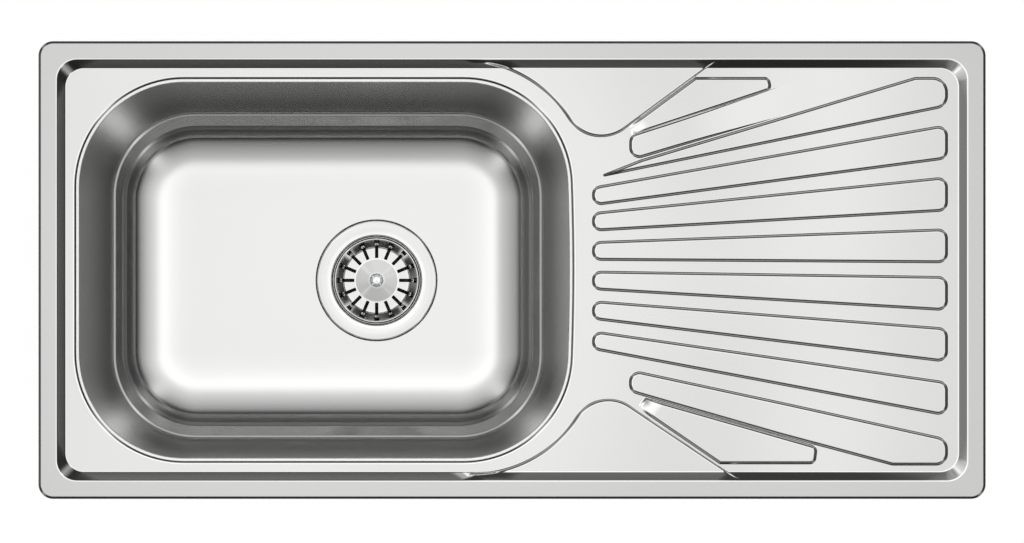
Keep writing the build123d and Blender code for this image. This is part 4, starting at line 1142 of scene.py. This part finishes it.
def one_sided(tree, shader):
    """Ends a material with a shader that is clear from behind."""
    away = add_node(tree, "ShaderNodeNewGeometry").outputs["Backfacing"]
    clear = add_node(tree, "ShaderNodeBsdfTransparent")
    both = add_node(tree, "ShaderNodeMixShader", {0: away, 1: shader.outputs[0], 2: clear.outputs[0]})
    add_node(tree, "ShaderNodeOutputMaterial", {"Surface": both.outputs[0]})


def stage_piece(name, points, faces, material, unseen=()):
    """A piece of the stage that some kinds of ray don't see."""
    made = make_mesh(name, points, faces, [material])
    for kind in unseen:
        setattr(made, "visible_" + kind, False)


def build_world():
    """A light tent by direction: white overhead, dark from 30 to 75 degrees off it, pale again at the horizon."""
    world = bpy.context.scene.world = bpy.data.worlds.new("light_tent")
    tree = bare(world)
    place = add_node(tree, "ShaderNodeTexCoord").outputs["Generated"]
    axes = add_node(tree, "ShaderNodeSeparateXYZ", {0: place}).outputs
    tilt = calc(tree, "MULTIPLY", calc(tree, "ARCCOSINE", axes["Z"]), 1 / math.pi)
    turn = mapped(tree, calc(tree, "ARCTAN2", axes["Y"], axes["X"]), from_min=-math.pi, from_max=math.pi)

    def ring(value, whole, stops):
        return graded(tree, value, [(at / whole, grey) for at, grey in stops])

    lean = calc(tree, "MULTIPLY_ADD", axes["Y"], BACK_LEAN, 1.0)
    total = calc(tree, "MULTIPLY", ring(tilt, 180, OVERHEAD), lean)
    for up, around in RINGS:
        total = calc(tree, "MULTIPLY_ADD", ring(tilt, 180, up), ring(turn, 360, around), total)
    light = add_node(tree, "ShaderNodeBackground", {"Color": total, "Strength": 1.0})
    add_node(tree, "ShaderNodeOutputWorld", {"Surface": light.outputs[0]})


def build_panel():
    """A softbox above the sink that only its reflections show: broad lighter and darker fields across the flats."""
    material = bpy.data.materials.new("softbox_uneven_diffuser")
    tree = bare(material)
    place = add_node(tree, "ShaderNodeTexCoord").outputs["Object"]
    axes = add_node(tree, "ShaderNodeSeparateXYZ", {0: place}).outputs
    along, fade = (
        graded(tree, mapped(tree, axes[axis], from_min=-half * MM, from_max=half * MM),
               [((at + half) / (2 * half), grey) for at, grey in stops])
        for axis, half, stops in zip("XY", PANEL_HALF, PANEL_ALONG))
    patch = mapped(tree, noise(tree, place, 120.0, 1.0), from_min=0.3, from_max=0.7, to_min=0.8, to_max=1.2)
    level = calc(tree, "MULTIPLY", calc(tree, "MULTIPLY", along, fade), patch)
    glow = add_node(tree, "ShaderNodeEmission", {"Color": (1, 1, 1, 1), "Strength": level})
    clear = add_node(tree, "ShaderNodeBsdfTransparent")
    both = add_node(tree, "ShaderNodeAddShader", {0: glow.outputs[0], 1: clear.outputs[0]})
    add_node(tree, "ShaderNodeOutputMaterial", {"Surface": both.outputs[0]})
    loop, _ = outline(rectangle(2 * PANEL_HALF[0], 2 * PANEL_HALF[1], 100.0))
    stage_piece("studio_softbox", lifted(loop, PANEL_HEIGHT), [list(range(len(loop)))[::-1]], material,
                ("camera", "diffuse", "shadow", "transmission", "volume_scatter"))


def build_floor(z):
    """A pale floor that shows white with a soft shadow, and that a view from below looks through."""
    material = bpy.data.materials.new("white_studio_floor")
    tree = bare(material)
    path = add_node(tree, "ShaderNodeLightPath").outputs
    seen = calc(tree, "ADD", path["Is Camera Ray"], path["Is Glossy Ray"])
    seen = calc(tree, "ADD", seen, path["Is Transmission Ray"], use_clamp=True)
    paint = add_node(tree, "ShaderNodeBsdfDiffuse", {"Color": (*linear("#F4F4F4"), 1)})
    white = add_node(tree, "ShaderNodeEmission", {"Color": (1, 1, 1, 1), "Strength": 1.06})
    one_sided(tree, add_node(tree, "ShaderNodeMixShader", {
        0: calc(tree, "MULTIPLY", seen, 0.9), 1: paint.outputs[0], 2: white.outputs[0]}))
    flat, _ = circle(STUDIO_RADIUS, 64)
    stage_piece("studio_floor", lifted(flat, z), [list(range(len(flat)))], material)


def build_backdrop():
    """A white dome that only the camera sees, and only from inside, so that low views have a white background."""
    material = bpy.data.materials.new("white_studio_backdrop")
    tree = bare(material)
    one_sided(tree, add_node(tree, "ShaderNodeEmission", {"Color": (1, 1, 1, 1), "Strength": 1.0}))
    flat, around = circle(1.0, 48)
    rows = np.array([lifted(flat * STUDIO_RADIUS * math.cos(a), STUDIO_RADIUS * math.sin(a))
                     for a in np.radians(np.linspace(89, -89, 25))])
    skin = Skin()
    skin.add_rows(rows, np.tile((0.0, 0, 1), rows.shape[:2] + (1,)), around)
    points, _, faces, _ = skin.welded()
    stage_piece("studio_backdrop", points, faces, material,
                ("glossy", "diffuse", "shadow", "transmission", "volume_scatter"))


def build_camera(sizes):
    """Straight down from far away, as the photograph is."""
    data = bpy.data.cameras.new("camera")
    camera = bpy.data.objects.new("camera", data)
    bpy.context.scene.collection.objects.link(camera)
    data.lens, data.sensor_width = 800.0, 36.0
    distance = VIEW_WIDTH * data.lens / data.sensor_width
    camera.location = (VIEW_MIDDLE[0] * MM, VIEW_MIDDLE[1] * MM, (sizes.rim_height + distance) * MM)
    data.clip_start, data.clip_end = 0.1, 60.0
    bpy.context.scene.camera = camera


def build_lamp():
    """A broad soft lamp overhead for everything that isn't polished."""
    data = bpy.data.lights.new("overhead_lamp", "AREA")
    data.shape, data.size, data.energy = "DISK", 3.0, 40.0
    lamp = bpy.data.objects.new("overhead_lamp", data)
    bpy.context.scene.collection.objects.link(lamp)
    lamp.location = (0, 0, 3.0)
    lamp.visible_glossy = lamp.visible_camera = False


def build_stage(sizes):
    """White studio round the sink, its light and its camera."""
    bpy.context.scene.view_settings.view_transform = "Standard"
    build_world()
    build_floor(heights("strainer_body")[0])
    build_backdrop()
    build_panel()
    build_camera(sizes)
    build_lamp()


def build_rails(f):
    """The slotted rails under the deck."""
    dress_nodes([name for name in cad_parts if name.startswith("rail_")], "mill", f.soft_edge / 2)


def build_clips(sizes, f):
    """The clips' brackets, pins and arms, and their screws."""
    names = [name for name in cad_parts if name.startswith(("clip_arm_", "clip_brackets", "clip_pins"))]
    dress_nodes(names, "zinc", f.soft_edge)
    build_screws(sizes, f)


# ---------------- operators, panel and registration
class Step:
    """What every operator does: runs its build function with the sizes that it needs."""
    build, groups = None, ()

    def execute(self, context):
        type(self).build(*[in_mm(getattr(context.scene, group)) for group in self.groups])
        return {"FINISHED"}


class SINK_OT_pressing(Step, bpy.types.Operator):
    """Press the rim, deck, drainboard and bowl from one sheet"""
    bl_idname, bl_label = "sink.pressing", "Pressing"
    build, groups = staticmethod(build_pressing), ("sink_sizes",)


class SINK_OT_strainer(Step, bpy.types.Operator):
    """Spin the strainer's flange and cup and cut its threads"""
    bl_idname, bl_label = "sink.strainer", "Strainer body"
    build, groups = staticmethod(build_strainer), ("sink_waste",)


class SINK_OT_nut_and_gaskets(Step, bpy.types.Operator):
    """Stack the gaskets, the fibre ring and the lock nut round the cup"""
    bl_idname, bl_label = "sink.nut_and_gaskets", "Lock nut and gaskets"
    build, groups = staticmethod(build_nut_and_gaskets), ("sink_waste",)


class SINK_OT_basket(Step, bpy.types.Operator):
    """Spin and slot the strainer basket"""
    bl_idname, bl_label = "sink.basket", "Basket"
    build, groups = staticmethod(build_basket), ("sink_waste",)


class SINK_OT_knob_and_stopper(Step, bpy.types.Operator):
    """Make the lifting knob, stem, spacer, nut and rubber stopper"""
    bl_idname, bl_label = "sink.knob_and_stopper", "Knob and stopper"
    build, groups = staticmethod(build_knob_and_stopper), ("sink_waste",)


class SINK_OT_rim_seal(Step, bpy.types.Operator):
    """Lay the foam seal under the rim"""
    bl_idname, bl_label = "sink.rim_seal", "Rim seal"
    build, groups = staticmethod(build_rim_seal), ("sink_sizes", "sink_fixing")


class SINK_OT_pad(Step, bpy.types.Operator):
    """Stick the felt pad under the bowl"""
    bl_idname, bl_label = "sink.pad", "Sound-deadening pad"
    build, groups = staticmethod(build_pad), ("sink_fixing",)


class SINK_OT_rails(Step, bpy.types.Operator):
    """Finish the slotted rails under the deck"""
    bl_idname, bl_label = "sink.rails", "Rails"
    build, groups = staticmethod(build_rails), ("sink_fixing",)


class SINK_OT_clips(Step, bpy.types.Operator):
    """Finish the clips' brackets, pins and arms and thread their screws"""
    bl_idname, bl_label = "sink.clips", "Fixing clips"
    build, groups = staticmethod(build_clips), ("sink_sizes", "sink_fixing")


class SINK_OT_stage(Step, bpy.types.Operator):
    """Set up the floor, backdrop, light and camera"""
    bl_idname, bl_label = "sink.stage", "Stage"
    build, groups = staticmethod(build_stage), ("sink_sizes",)


GROUPS = {"sink_sizes": SinkSizes, "sink_waste": WasteSizes, "sink_fixing": FixingSizes, "sink_colours": SinkColours}
OPERATORS = (SINK_OT_pressing, SINK_OT_strainer, SINK_OT_nut_and_gaskets, SINK_OT_basket, SINK_OT_knob_and_stopper,
             SINK_OT_rim_seal, SINK_OT_pad, SINK_OT_rails, SINK_OT_clips, SINK_OT_stage)


class SINK_PT_pieces(bpy.types.Panel):
    """Sizes, colours and the step that builds each piece"""
    bl_label = "Kitchen sink"
    bl_space_type = "VIEW_3D"
    bl_region_type = "UI"
    bl_category = "Sink"

    def draw(self, context):
        for key, group in GROUPS.items():
            box = self.layout.box()
            for name in group.__annotations__:
                box.prop(getattr(context.scene, key), name)
        for operator in OPERATORS:
            self.layout.operator(operator.bl_idname)


def register():
    for made in (*GROUPS.values(), *OPERATORS, SINK_PT_pieces):
        bpy.utils.register_class(made)
    for key, group in GROUPS.items():
        setattr(bpy.types.Scene, key, bpy.props.PointerProperty(type=group))


def unregister():
    for key in GROUPS:
        delattr(bpy.types.Scene, key)
    for made in reversed((*GROUPS.values(), *OPERATORS, SINK_PT_pieces)):
        bpy.utils.unregister_class(made)


def main():
    register()
    for operator in OPERATORS:
        group, name = operator.bl_idname.split(".")
        getattr(getattr(bpy.ops, group), name)()


if __name__ == "__main__":
    main()
